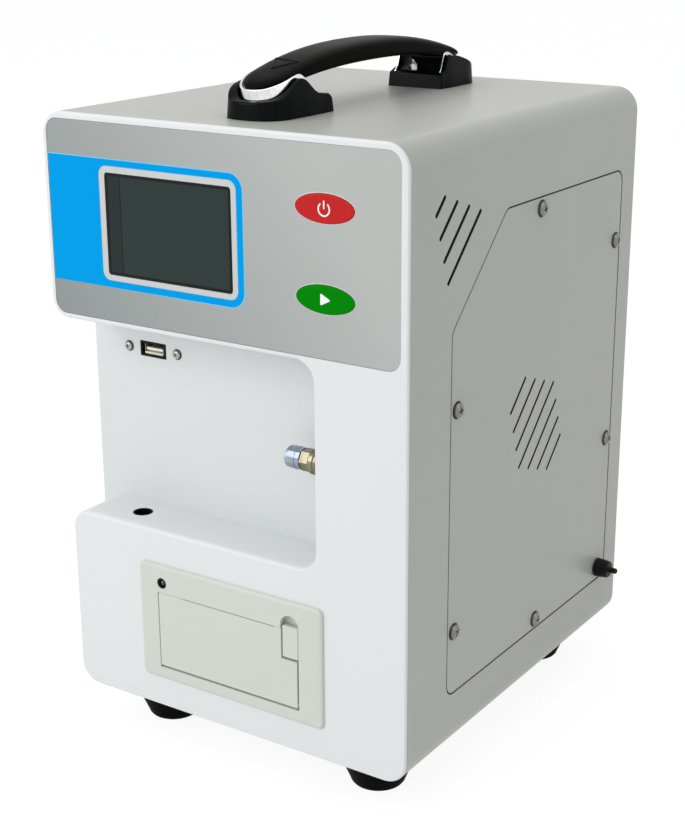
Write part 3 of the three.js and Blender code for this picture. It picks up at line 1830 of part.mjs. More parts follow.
// One blade: sections from inside the hub to the tip, each swept round and set flatter than the last
function fanBlade(front, back, tip, steps, start) {
  const sweep = THREE.MathUtils.degToRad(24);
  const spread = THREE.MathUtils.degToRad(34);
  const root = fanHubRadius - fanRim;
  const rings = [];
  for (let i = 0; i <= steps; i += 1) {
    const share = i / steps;
    const radius = root + (tip - root) * share;
    const lead = start + sweep * share;
    const thick = fanBladeThickness / radius;
    const corner = (angle, y) => new THREE.Vector3(
      fanX + radius * Math.cos(angle),
      y,
      fanZ + radius * Math.sin(angle),
    );
    const turn = spread * (1 - bladeTwistShare * share);
    rings.push([
      corner(lead, front),
      corner(lead + thick, front),
      corner(lead + turn + thick, back),
      corner(lead + turn, back),
    ]);
  }
  const positions = [];
  const triangle = (a, b, c) => positions.push(...a.toArray(), ...b.toArray(), ...c.toArray());
  for (let i = 0; i < steps; i += 1) {
    for (let j = 0; j < 4; j += 1) {
      const k = (j + 1) % 4;
      triangle(rings[i][j], rings[i + 1][k], rings[i][k]);
      triangle(rings[i][j], rings[i + 1][j], rings[i + 1][k]);
    }
  }
  const inner = rings[0];
  const outer = rings[steps];
  triangle(inner[0], inner[1], inner[2]);
  triangle(inner[0], inner[2], inner[3]);
  triangle(outer[0], outer[2], outer[1]);
  triangle(outer[0], outer[3], outer[2]);
  const geometry = new THREE.BufferGeometry();
  geometry.setAttribute('position', new THREE.Float32BufferAttribute(positions, 3));
  return toSolid(geometry);
}

function makeFanGuard() {
  const plane = rearPanelBack + guardStand;
  const pieces = [];
  for (let i = 0; i < guardRings; i += 1) {
    const radius = guardFirstRing + i * guardRingPitch;
    const ring = new THREE.TorusGeometry(radius, guardWireRadius, 5, 22);
    ring.rotateX(Math.PI / 2).translate(fanX, plane, fanZ);
    pieces.push(toSolid(ring));
  }
  const half = fanScrewSpread / 2;
  const reach = Math.hypot(half, half);
  for (const angle of [Math.PI / 4, -Math.PI / 4]) {
    const bar = new THREE.CylinderGeometry(guardWireRadius, guardWireRadius, reach * 2, 6);
    bar.rotateZ(Math.PI / 2).rotateY(angle).translate(fanX, plane - guardWireRadius, fanZ);
    pieces.push(toSolid(bar));
  }
  const eyes = fanScrewPlaces().map(([x, z]) => rodY(
    guardEyeRadius,
    rearPanelBack + seatGap / 3,
    plane,
    x,
    z,
    10,
  ));
  const holes = fanScrewPlaces().map(([x, z]) => rodY(
    guardEyeHole,
    rearPanelBack - overrun,
    plane + overrun,
    x,
    z,
    8,
  ));
  return cut(joined(...pieces, ...eyes), ...holes);
}

function makeFanScrews() {
  fanScrewPlaces().forEach(([x, z], i) => {
    addScrew(`fan_screw_${i + 1}`, [x, rearPanelBack + guardStand + seatGap / 3, z], facingBack, false);
  });
}

// Inside

// The chips stand at shares of the board's depth and height, each a share of the chip size;
// the plugs stand at shares of its height, by its back edge
const boardChipShares = [[0.4, 0.45, 1], [0.2, 0.7, 0.6], [0.2, 0.2, 0.5]];
const boardPlugShares = [0.1, 0.85];
const boardPlugBackShare = 0.92;

function makeMainBoard() {
  const face = caseWall + boardStandoff;
  const boardTop = boardRaise + boardHeight;
  const boardBack = boardFromFront + boardDepth;
  const plate = slab(face, face + boardThickness, boardFromFront, boardBack, boardRaise, boardTop);
  const pieces = [];
  for (const y of [boardFromFront + boardPlugWidth, boardBack - boardPlugWidth]) {
    for (const z of [boardRaise + boardPlugWidth, boardTop - boardPlugWidth]) {
      pieces.push(rodX(boardStandoffRadius, caseWall + seatGap, face + boardThickness / 2, y, z, 10));
    }
  }
  const top = face + boardThickness;
  const chip = ([alongShare, upShare, sizeShare]) => {
    const y = boardFromFront + boardDepth * alongShare;
    const z = boardRaise + boardHeight * upShare;
    const size = boardChipSize * sizeShare;
    return slab(top - boardThickness / 2, top + boardChipHeight, y, y + size, z, z + size);
  };
  const plug = (upShare) => {
    const z = boardRaise + boardHeight * upShare;
    const back = boardFromFront + boardDepth * boardPlugBackShare;
    return slab(
      top - boardThickness / 2,
      top + boardPlugHeight,
      back - boardPlugLength,
      back,
      z,
      z + boardPlugWidth,
    );
  };
  return joined(plate, ...pieces, ...boardChipShares.map(chip), ...boardPlugShares.map(plug));
}

const supplySlotShares = [0.2, 0.35, 0.5, 0.65, 0.8];
const supplySlotInsetShare = 0.2;

function makePowerSupply() {
  const low = caseWall + seatGap;
  const right = supplyX + supplyWidth;
  const back = supplyY + supplyDepth;
  const high = low + supplyHeight;
  const can = slab(supplyX, right, supplyY, back, low, high);
  const slots = [];
  for (const share of supplySlotShares) {
    const y = supplyY + supplyDepth * share;
    slots.push(slab(
      supplyX + supplyWidth * supplySlotInsetShare,
      right - supplyWidth * supplySlotInsetShare,
      y,
      y + supplyWall * 2,
      high - supplyWall * 3,
      high + overrun,
    ));
  }
  return cut(can, ...slots);
}

const pumpInletShare = 0.25;
const pumpOutletShare = 0.75;

function makeGasPump() {
  const low = caseWall + seatGap;
  const right = pumpX + pumpWidth;
  const headTop = low + pumpBaseHeight;
  const motorX = pumpX + pumpWidth / 2;
  const motorY = pumpY + pumpDepth / 2;
  const head = slab(pumpX, right, pumpY, pumpY + pumpDepth, low, headTop);
  const motor = rodZ(pumpMotorRadius, headTop - overrun, headTop + pumpMotorLength, motorX, motorY, 20);
  const barb = (share) => rodX(
    pumpBarbRadius,
    right - overrun,
    right + pumpBarbLength,
    pumpY + pumpDepth * share,
    low + pumpBarbHeight,
    10,
  );
  return joined(head, motor, barb(pumpInletShare), barb(pumpOutletShare));
}

function makeOxygenSensor() {
  const low = caseWall + seatGap;
  const neck = low + cellFlangeHeight + cellHeight;
  return aboutZ([
    [0, low],
    [cellFlangeRadius, low],
    [cellFlangeRadius, low + cellFlangeHeight],
    [cellRadius, low + cellFlangeHeight],
    [cellRadius, neck],
    [cellNeckRadius, neck],
    [cellNeckRadius, neck + cellNeckHeight],
    [0, neck + cellNeckHeight],
  ], cellX, cellY, 24);
}

// The hose's route: shares of its lead, of the way back and of the drop, from the port and to the pump
const hoseDownShares = [[1.6, 0.08, 0.12], [1.7, 0.3, 0.4], [1.7, 0.7, 0.8]];
const hoseEndShares = [[1.2, 0.05, 0.03], [0.5, 0, 0]];

// The hose from the back of the sample port, down the right side and back to the pump
function makeSampleHose() {
  const start = bayRight + portThreadLength + seatGap;
  const end = pumpX + pumpWidth + pumpBarbLength + seatGap;
  const barbY = pumpY + pumpDepth * pumpInletShare;
  const barbZ = caseWall + seatGap + pumpBarbHeight;
  const lead = hoseRadius * 4;
  const drop = portZ - barbZ;
  const span = barbY - portY;
  const route = new THREE.CatmullRomCurve3([
    new THREE.Vector3(start, portY, portZ),
    new THREE.Vector3(start + lead, portY, portZ),
    ...hoseDownShares.map(([out, along, down]) => (
      new THREE.Vector3(start + lead * out, portY + span * along, portZ - drop * down)
    )),
    ...hoseEndShares.map(([out, along, down]) => (
      new THREE.Vector3(end + lead * out, barbY - span * along, barbZ + drop * down)
    )),
    new THREE.Vector3(end, barbY, barbZ),
  ], false, 'centripetal');
  const section = oval(0, 0, hoseRadius, hoseRadius);
  const geometry = new THREE.ExtrudeGeometry(section, {
    steps: 26,
    curveSegments: 3,
    extrudePath: route,
    bevelEnabled: false,
  });
  return toSolid(geometry);
}

// Putting it together

add('front_fascia', makeFascia(), 'fascia');
add('control_overlay', makeOverlay(), 'overlay');
makeDisplay();
add('power_key', makeKey(powerKeyHeight), 'powerKey');
add('test_key', makeKey(testKeyHeight), 'testKey');
add('key_board', makeKeyBoard(), 'board');
add('usb_socket', makeUsbSocket(), 'steel');
makeUsbScrews();
add('needle_well', makeNeedleWell(), 'black');
add('sample_port', makeSamplePort(), 'nickel');
add('sample_nut', makeSampleNut(), 'nutBlue');
add('printer_frame', makePrinterFrame(), 'printer');
add('printer_door', makePrinterDoor(), 'printer');
add('printer_latch', makePrinterLatch(), 'printer');
add('printer_lamp', makePrinterLamp(), 'glass');
add('printer_housing', makePrinterHousing(), 'black');
add('print_head', makePrintHead(), 'black');
add('platen_roller', makePlaten(), 'rubber');
add('paper_roll', makePaperRoll(), 'paper');
add('case_shell', makeCaseShell(), 'casePaint');
add('access_panel', makeAccessPanel(), 'casePaint');
makeAccessScrews();
add('gas_outlet', makeGasOutlet(), 'black');
makeFeet();
makeHandle();
add('rear_panel', makeRearPanel(), 'casePaint');
makeRearScrews();
add('mains_inlet', makeMainsInlet(), 'black');
add('fuse_drawer', makeFuseDrawer(), 'black');
add('rocker_switch', makeRocker(), 'black');
add('fan_frame', makeFanFrame(), 'black');
add('fan_rotor', makeFanRotor(), 'black');
add('fan_guard', makeFanGuard(), 'steel');
makeFanScrews();
add('main_board', makeMainBoard(), 'board');
add('power_supply', makePowerSupply(), 'steel');
add('gas_pump', makeGasPump(), 'pumpMetal');
add('oxygen_sensor', makeOxygenSensor(), 'cell');
add('sample_hose', makeSampleHose(), 'hose');

// The origin is under the middle of the whole part, on the plane that the feet stand on
const whole = new THREE.Box3().setFromObject(body);
const middle = whole.getCenter(new THREE.Vector3());
body.position.set(-middle.x, -middle.y, -whole.min.z);

const group = new THREE.Group();
group.add(body);

export default group;
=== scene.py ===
"""Looks of the headspace gas analyzer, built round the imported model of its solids.

Sizes are in millimetres from the lower left corner of the front, the face that looks along -Y. They become
metres in the shared frame when a mesh is made. Every piece rides on the body that carries it.
"""

import logging
import math
from dataclasses import dataclass, field
from enum import Enum
from typing import Callable, Sequence

import bmesh
import bpy
from mathutils import Matrix, Vector
from mathutils.geometry import tessellate_polygon


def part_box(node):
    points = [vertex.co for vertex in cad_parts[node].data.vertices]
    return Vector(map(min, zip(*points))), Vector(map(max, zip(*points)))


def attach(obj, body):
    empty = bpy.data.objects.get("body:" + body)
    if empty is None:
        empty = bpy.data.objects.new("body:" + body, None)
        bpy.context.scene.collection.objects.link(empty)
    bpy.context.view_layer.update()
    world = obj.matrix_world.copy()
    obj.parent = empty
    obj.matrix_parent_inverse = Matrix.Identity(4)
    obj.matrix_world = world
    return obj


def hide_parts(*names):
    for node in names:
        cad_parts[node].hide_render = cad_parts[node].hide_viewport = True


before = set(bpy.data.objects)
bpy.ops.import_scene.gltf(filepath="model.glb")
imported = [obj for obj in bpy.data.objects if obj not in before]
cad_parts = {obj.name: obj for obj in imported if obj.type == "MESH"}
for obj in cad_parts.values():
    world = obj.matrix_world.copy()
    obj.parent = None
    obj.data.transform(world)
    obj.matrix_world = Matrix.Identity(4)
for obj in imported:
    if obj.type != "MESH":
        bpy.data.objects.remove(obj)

LOG = logging.getLogger("analyzer")
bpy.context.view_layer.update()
MILLIMETRE = 0.001
MICROMETRE = 1e-6
WELD = 2e-6
SMOOTH_ANGLE = 38.0
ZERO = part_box("front_fascia")[0]
CORNERS = ((-1, -1), (1, -1), (1, 1), (-1, 1))

Point2 = tuple[float, float]
Point3 = tuple[float, float, float]
Outline = list[Point2]
Line = tuple[Point2, ...]
Points = Sequence[Point2]
Colour = tuple[float, float, float]
Box = tuple[float, float, float, float]
Object = bpy.types.Object
Node = bpy.types.Node
Tree = bpy.types.NodeTree
Socket = bpy.types.NodeSocket
Inputs = dict[str | int, object]


# Shapes


class Plane(Enum):
    """The plane that an outline is drawn in; its depth runs along the third axis."""

    FRONT = "xz"
    SIDE = "yz"
    TOP = "xy"

    def lift(self, u: float, v: float, depth: float) -> Vector:
        """Places a drawn point at a depth."""
        return Vector({Plane.FRONT: (u, depth, v), Plane.SIDE: (depth, u, v), Plane.TOP: (u, v, depth)}[self])


class Axis(Enum):
    """The axis that a turned shape goes round."""

    X = 0
    Y = 1
    Z = 2


@dataclass(frozen=True)
class Rim:
    """How far an edge is rounded: across the face and down the side."""

    across: float = 0.0
    deep: float = 0.0


SHARP = Rim()


@dataclass
class Edge:
    """One closed outline of a plate, with the rounding of its two edges.

    The rounding may change from point to point, as a share of the rim given by `share`.
    """

    points: Outline
    low: Rim = SHARP
    high: Rim = SHARP
    share: Callable[[Point2], float] | None = None


def arc(centre: Point2, radius: float, start: float, end: float, steps: int) -> Outline:
    """The points along an arc between two angles in radians."""
    angles = [start + (end - start) * i / steps for i in range(steps + 1)]
    return [(centre[0] + radius * math.cos(angle), centre[1] + radius * math.sin(angle)) for angle in angles]


def filleted(corners: Sequence[Point3], steps: int = 10) -> Outline:
    """Draws a polygon with rounded corners.

    Args:
        corners: x, y and fillet radius of each corner, in order round the shape.
        steps: segments in each fillet.

    Returns:
        The outline.
    """
    points = []
    for i, (x, y, radius) in enumerate(corners):
        if radius <= 0:
            points.append((x, y))
            continue
        here = Vector((x, y))
        before = (Vector(corners[i - 1][:2]) - here).normalized()
        after = (Vector(corners[(i + 1) % len(corners)][:2]) - here).normalized()
        half = math.acos(max(-1.0, min(1.0, before.dot(after)))) / 2
        start = here + before * radius / math.tan(half)
        end = here + after * radius / math.tan(half)
        centre = here + (before + after).normalized() * radius / math.sin(half)
        first = math.atan2(start.y - centre.y, start.x - centre.x)
        turn = math.atan2(end.y - centre.y, end.x - centre.x) - first
        turn = (turn + math.pi) % (2 * math.pi) - math.pi
        points += arc((centre.x, centre.y), radius, first, first + turn, steps)
    return points


def rectangle(left: float, right: float, low: float, high: float) -> Outline:
    """A plain rectangle."""
    return [(left, low), (right, low), (right, high), (left, high)]


def rounded(left: float, right: float, low: float, high: float, radius: float) -> Outline:
    """A rectangle with rounded corners."""
    return filleted([(x, y, radius) for x, y in rectangle(left, right, low, high)])


def grown(box: Box, grow: float, radius: float) -> Outline:
    """A box's rounded outline, grown on every side."""
    left, right, low, high = box
    return rounded(left - grow, right + grow, low - grow, high + grow, radius)


def pad(x: float, y: float, half_wide: float, half_high: float, radius: float) -> Outline:
    """A rounded outline round a middle."""
    return rounded(x - half_wide, x + half_wide, y - half_high, y + half_high, radius)


def middle_line(outer: Outline, inner: Outline) -> Outline:
    """The outline half way between two."""
    return [((a[0] + b[0]) / 2, (a[1] + b[1]) / 2) for a, b in zip(outer, inner)]


def ring_profile(inner: float, outer: float, start: float, end: float) -> Outline:
    """The profile of a plain ring, or of a rod where its inner radius is zero."""
    return [(inner, start), (outer, start), (outer, end), (inner, end)]


def moved(profile: Points, by: float) -> Outline:
    """A profile moved along its axis."""
    return [(radius, place + by) for radius, place in profile]


def oval(x: float, y: float, half_wide: float, half_high: float, steps: int = 64) -> Outline:
    """An ellipse, or a circle where its halves are equal."""
    turn = 2 * math.pi / steps
    return [(x + half_wide * math.cos(turn * i), y + half_high * math.sin(turn * i)) for i in range(steps)]


def slanted_slot(x: float, y: float, half: float, width: float) -> Outline:
    """A slot with round ends that climbs at 45 degrees, by its middle, half length and width."""
    run, turn = (half - width / 2) * math.sqrt(0.5), math.pi / 4
    return (arc((x + run, y + run), width / 2, -turn, turn * 3, 8)
            + arc((x - run, y - run), width / 2, turn * 3, turn * 7, 8))


def signed_area(points: Outline) -> float:
    """The area of an outline, positive where it runs anticlockwise."""
    return sum(a[0] * b[1] - b[0] * a[1] for a, b in zip(points, points[1:] + points[:1])) / 2


def inset(points: Outline, distance: Callable[[Point2], float]) -> Outline:
    """Moves each point of an outline to its left.

    Args:
        points: the outline.
        distance: how far a point of it moves.

    Returns:
        The moved outline.
    """
    result = []
    for before, here, after in zip(points[-1:] + points[:-1], points, points[1:] + points[:1]):
        first = (Vector(here) - Vector(before)).normalized()
        second = (Vector(after) - Vector(here)).normalized()
        normal_a, normal_b = Vector((-first.y, first.x)), Vector((-second.y, second.x))
        mitre = (normal_a + normal_b) / max(0.3, 1 + normal_a.dot(normal_b))
        result.append(tuple(Vector(here) + mitre * distance(here)))
    return result


def spline_value(knots: Points, place: float) -> float:
    """Reads a smooth curve through knots.

    Args:
        knots: place and value of each knot, in order.
        place: where the curve is read.

    Returns:
        Its value there.
    """
    i = next((i for i, knot in enumerate(knots[1:]) if place <= knot[0]), len(knots) - 2)
    (x0, y0), (x1, y1) = knots[i], knots[i + 1]
    before, after = knots[max(i - 1, 0)], knots[min(i + 2, len(knots) - 1)]
    t = max(0.0, min(1.0, (place - x0) / (x1 - x0)))
    slope0 = (y1 - before[1]) / (x1 - before[0]) * (x1 - x0)
    slope1 = (after[1] - y0) / (after[0] - x0) * (x1 - x0)
    return ((2 * t ** 3 - 3 * t ** 2 + 1) * y0 + (t ** 3 - 2 * t ** 2 + t) * slope0
            + (-2 * t ** 3 + 3 * t ** 2) * y1 + (t ** 3 - t ** 2) * slope1)


def placed(name: str, data: bpy.types.ID) -> Object:
    """Puts an object with this data into the scene."""
    made = bpy.data.objects.new(name, data)
    bpy.context.scene.collection.objects.link(made)
    return made


class Form:
    """A mesh under construction, in millimetres."""

    def __init__(self) -> None:
        """Starts with no points and no faces."""
        self.points: list[Vector] = []
        self.faces: list[tuple[int, ...]] = []

    def add(self, points: Sequence[Vector], faces: Sequence[Sequence[int]]) -> "Form":
        """Adds points and faces.

        Args:
            points: the points.
            faces: the faces, which count from the first of these points.

        Returns:
            The form.
        """
        base = len(self.points)
        self.points += [Vector(p) for p in points]
        self.faces += [tuple(base + i for i in face) for face in faces]
        return self

    def rings(self, rings: Sequence[Sequence[Vector]], capped: bool = True, closed: bool = False) -> "Form":
        """Joins rings of equal length into a skin.

        Args:
            rings: the rings in order.
            capped: whether the first and the last ring are filled.
            closed: whether the last ring joins the first.

        Returns:
            The form.
        """
        size, count = len(rings[0]), len(rings)
        faces = []
        for i in range(count if closed else count - 1):
            for j in range(size):
                k, n = (j + 1) % size, (i + 1) % count
                faces.append((i * size + j, i * size + k, n * size + k, n * size + j))
        if capped and not closed:
            faces.append(tuple(reversed(range(size))))
            faces.append(tuple((count - 1) * size + j for j in range(size)))
        return self.add([p for ring in rings for p in ring], faces)

    def plate(self, plane: Plane, edges: Sequence[Edge | Outline], low: float, high: float,
              steps: int = 3) -> "Form":
        """Adds a plate whose first edge is its outline and whose other edges are its holes.

        Args:
            plane: the plane that the outlines are drawn in.
            edges: the outline and the holes; a plain list of points is a sharp edge.
            low: depth of the plate's lower face.
            high: depth of its upper face.
            steps: segments in each rounded rim.

        Returns:
            The form.
        """
        caps, starts = [[], []], []
        base = len(self.points)
        for number, given in enumerate(edges):
            edge = given if isinstance(given, Edge) else Edge(given)
            points = list(edge.points)
            if (signed_area(points) > 0) != (number == 0):
                points.reverse()
            share = edge.share or (lambda _point: 1.0)
            layers = []
            for rim, start, sign in ((edge.low, low, 1), (edge.high, high, -1)):
                part = []
                for k in range(steps + 1 if rim.across > 0 else 1):
                    angle = math.pi / 2 * k / steps if rim.across > 0 else math.pi / 2
                    size, sunk = 1 - math.sin(angle), sign * rim.deep * (1 - math.cos(angle))
                    ring = inset(points, lambda p, s=size, r=rim: r.across * s * share(p))
                    part.append((ring, [start + sunk * share(p) for p in points]))
                layers += part if sign > 0 else part[::-1]
            first = len(self.points) - base
            rings = [[plane.lift(u, v, d) for (u, v), d in zip(ring, deep)] for ring, deep in layers]
            self.rings(rings, capped=False)
            caps[0].append(layers[0][0])
            caps[1].append(layers[-1][0])
            starts.append((first, first + (len(layers) - 1) * len(points), len(points)))
        for side, loops in enumerate(caps):
            lookup = [base + start[side] + j for start in starts for j in range(start[2])]
            drawn = [[Vector((u, v, 0)) for u, v in loop] for loop in loops]
            self.faces += [(lookup[a], lookup[b], lookup[c]) for a, b, c in tessellate_polygon(drawn)]
        return self

    def front(self, edges: Sequence[Edge | Outline], low: float, high: float, steps: int = 3) -> "Form":
        """Adds a plate drawn in the front's plane."""
        return self.plate(Plane.FRONT, edges, low, high, steps)

    def side(self, edges: Sequence[Edge | Outline], low: float, high: float, steps: int = 3) -> "Form":
        """Adds a plate drawn in the side's plane."""
        return self.plate(Plane.SIDE, edges, low, high, steps)

    def turned(self, axis: Axis, profile: Points, centre: Sequence[float], sides: int = 64) -> "Form":
        """Adds a profile turned round an axis.

        Args:
            axis: the axis.
            profile: radius and place along the axis of each point.
            centre: a point on the axis, zero along it.
            sides: the sides of each circle.

        Returns:
            The form.
        """
        rings = []
        for radius, place in profile:
            ring = []
            for wide, high in oval(0, 0, max(radius, 1e-4), max(radius, 1e-4), sides):
                spot = {Axis.X: (place, wide, high), Axis.Y: (wide, place, high), Axis.Z: (wide, high, place)}
                ring.append(Vector(spot[axis]) + Vector(centre))
            rings.append(ring)
        return self.rings(rings, closed=profile[0][0] > 0 and profile[-1][0] > 0)

    def rod(self, axis: Axis, radius: float, start: float, end: float, centre: Sequence[float],
            sides: int) -> "Form":
        """Adds a round rod between two places along an axis."""
        return self.turned(axis, ring_profile(0, radius, start, end), centre, sides)

    def tube(self, path: Sequence[Vector], radius: float, sides: int = 12, closed: bool = False) -> "Form":
        """Adds a round tube.

        Args:
            path: the points that it follows.
            radius: its radius.
            sides: the sides of its section.
            closed: whether the last point joins the first.

        Returns:
            The form.
        """
        rings = []
        side = Vector((0.3, 0.5, 0.8))
        for i, here in enumerate(path):
            before = path[i - 1] if i or closed else here
            after = path[(i + 1) % len(path)] if i + 1 < len(path) or closed else here
            along = (after - before).normalized()
            side = (side - along * side.dot(along)).normalized()
            other = along.cross(side)
            angles = [2 * math.pi / sides * j for j in range(sides)]
            rings.append([here + (side * math.cos(a) + other * math.sin(a)) * radius for a in angles])
        return self.rings(rings, closed=closed)

    def object(self, name: str, angle: float = SMOOTH_ANGLE) -> Object:
        """Makes the object.

        Args:
            name: its name.
            angle: its smoothing angle, in degrees.

        Returns:
            The object.
        """
        mesh = bpy.data.meshes.new(name)
        mesh.from_pydata([tuple(ZERO + p * MILLIMETRE) for p in self.points], [], self.faces)
        mesh.validate()
        piece = placed(name, mesh)
        tidy_mesh(piece, angle)
        return piece


def tidy_mesh(piece: Object, angle: float) -> None:
    """Merges doubled points, turns faces outwards and smooths the mesh.

    Args:
        piece: the object.
        angle: its smoothing angle, in degrees.
    """
    build = bmesh.new()
    build.from_mesh(piece.data)
    bmesh.ops.remove_doubles(build, verts=build.verts, dist=WELD)
    bmesh.ops.recalc_face_normals(build, faces=build.faces)
    build.to_mesh(piece.data)
    build.free()
    piece.data.polygons.foreach_set("use_smooth", [True] * len(piece.data.polygons))
    piece.data.set_sharp_from_angle(angle=math.radians(angle))
    even = piece.modifiers.new("Even shading", "WEIGHTED_NORMAL")
    even.keep_sharp = True


def carve(piece: Object, tools: Sequence[Object], angle: float = SMOOTH_ANGLE) -> Object:
    """Cuts tools out of a piece and removes them.

    Args:
        piece: the object that is cut.
        tools: what is cut out of it.
        angle: its smoothing angle, in degrees.

    Returns:
        The piece.
    """
    piece.modifiers.clear()
    for number, tool in enumerate(tools):
        tool.modifiers.clear()
        step = piece.modifiers.new(f"Step {number}", "BOOLEAN")
        step.operation = "DIFFERENCE"
        step.solver = "EXACT"
        step.object = tool
    bpy.context.view_layer.update()
    shown = piece.evaluated_get(bpy.context.evaluated_depsgraph_get())
    mesh = bpy.data.meshes.new_from_object(shown)
    piece.modifiers.clear()
    piece.data = mesh
    for tool in tools:
        bpy.data.objects.remove(tool)
    tidy_mesh(piece, angle)
    return piece


def block(name: str, low: Sequence[float], high: Sequence[float]) -> Object:
    """A plain cutting block between two corners."""
    outline = rectangle(low[0], high[0], low[2], high[2])
    return Form().front([outline], low[1], high[1]).object(name)


# Finishes


def linear(colour: Colour) -> tuple[float, float, float, float]:
    """Turns a colour as it is seen, 0 to 1, into the renderer's own values."""
    red, green, blue = (c / 12.92 if c <= 0.04045 else ((c + 0.055) / 1.055) ** 2.4 for c in colour)
    return (red, green, blue, 1.0)


def feed(node: Node, inputs: Inputs) -> None:
    """Gives each named input of a node its value, or joins it to a socket.

    Args:
        node: the node.
        inputs: each input's value or socket.
    """
    for label, value in inputs.items():
        if isinstance(value, Socket):
            node.id_data.links.new(value, node.inputs[label])
        else:
            node.inputs[label].default_value = value


def add_node(tree: Tree, kind: str, inputs: Inputs | None = None, **properties: object) -> Node:
    """Adds a node to a tree.

    Args:
        tree: the tree.
        kind: the node's type, without ShaderNode before it.
        inputs: each input's value or socket.
        properties: the node's other properties.

    Returns:
        The node.
    """
    node = tree.nodes.new(f"ShaderNode{kind}")
    for label, value in properties.items():
        setattr(node, label, value)
    feed(node, inputs or {})
    return node


class Group:
    """A shader node group under construction."""

    def __init__(self, name: str, inputs: Sequence[str], output: str) -> None:
        """Makes the group and its sockets. One named Color is a colour, any other a number.

        Args:
            name: its name.
            inputs: the names of its inputs, which each material gives its own values.
            output: the name of its output.
        """
        self.tree = bpy.data.node_groups.new(name, "ShaderNodeTree")
        for label, way in [*((label, "INPUT") for label in inputs), (output, "OUTPUT")]:
            kind = "NodeSocketColor" if label == "Color" else "NodeSocketFloat"
            self.tree.interface.new_socket(label, in_out=way, socket_type=kind)
        self.source, self.target = map(self.tree.nodes.new, ("NodeGroupInput", "NodeGroupOutput"))

    def given(self, label: str) -> Socket:
        """One of the group's inputs."""
        return self.source.outputs[label]

    def node(self, kind: str, inputs: Inputs | None = None, **properties: object) -> Node:
        """Adds a node to the group."""
        return add_node(self.tree, kind, inputs, **properties)

    def math(self, operation: str, *values: object, clamp: bool = False) -> Socket:
        """Adds a math node on values or sockets, and gives its result."""
        node = self.node("Math", dict(enumerate(values)), operation=operation, use_clamp=clamp)
        return node.outputs[0]

    def noise(self, scale: float, detail: float, stretch: Point3 = (1, 1, 1)) -> Socket:
        """Adds a noise texture on object coordinates.

        Args:
            scale: its scale, times the group's Scale input.
            detail: its detail.
            stretch: how the coordinates are stretched.

        Returns:
            The noise, about 0.5 in the middle.
        """
        place = self.node("TexCoord").outputs["Object"]
        mapping = self.node("Mapping", {"Vector": place, "Scale": stretch})
        scaled = self.math("MULTIPLY", self.given("Scale"), scale)
        inputs = {"Vector": mapping.outputs["Vector"], "Scale": scaled, "Detail": detail}
        return self.node("TexNoise", inputs).outputs["Fac"]

    def whole(self, result: Socket) -> Tree:
        """Joins the result to the group's output, and gives the finished group."""
        feed(self.target, {0: result})
        return self.tree


def make_mottle_group() -> Tree:
    """Slow and fine changes of shade over a surface: a colour in, the varied colour out.

    Returns:
        The group.
    """
    group = Group("Mottle", ("Color", "Scale", "Amount"), "Color")
    slow, fine, fine_share = group.noise(1.0, 3.0), group.noise(14.0, 2.0), 0.35
    both = group.math("MULTIPLY_ADD", fine, fine_share, slow)
    centred = group.math("SUBTRACT", both, (1 + fine_share) / 2)
    gain = group.math("MULTIPLY_ADD", centred, group.given("Amount"), 1.0)
    varied = group.node("VectorMath", {0: group.given("Color"), "Scale": gain}, operation="SCALE")
    return group.whole(varied.outputs[0])


def make_drift_group() -> Tree:
    """Roughness that drifts where hands and cloths have been: a value in, the varied value out.

    Returns:
        The group.
    """
    group = Group("Roughness drift", ("Roughness", "Scale", "Amount"), "Roughness")
    patch, wipe = group.noise(1.0, 4.0), group.noise(3.0, 2.0, (1.0, 1.0, 0.15))
    centred = group.math("SUBTRACT", group.math("ADD", patch, wipe), 1.0)
    amount, roughness = group.given("Amount"), group.given("Roughness")
    return group.whole(group.math("MULTIPLY_ADD", centred, amount, roughness, clamp=True))


def make_grain_group() -> Tree:
    """The fine height of paint peel or moulded texture.

    Returns:
        The group.
    """
    group = Group("Grain", ("Scale", "Pits"), "Height")
    peel = group.noise(1.0, 2.0)
    place = group.node("TexCoord").outputs["Object"]
    cells = group.node("TexVoronoi", {"Vector": place, "Scale": group.given("Scale")})
    return group.whole(group.math("MULTIPLY_ADD", cells.outputs["Distance"], group.given("Pits"), peel))


def make_brush_group() -> Tree:
    """The height of the long fine lines left by brushing or turning."""
    group = Group("Brush lines", ("Scale",), "Height")
    return group.whole(group.noise(1.0, 5.0, (0.04, 1.0, 1.0)))


MOTTLE = make_mottle_group()
DRIFT = make_drift_group()
GRAIN = make_grain_group()
BRUSH = make_brush_group()


def place_group(tree: Tree, group: Tree, **inputs: object) -> Socket:
    """Puts a shared group into a material with its own values, and gives its output."""
    return add_node(tree, "Group", inputs, node_tree=group).outputs[0]


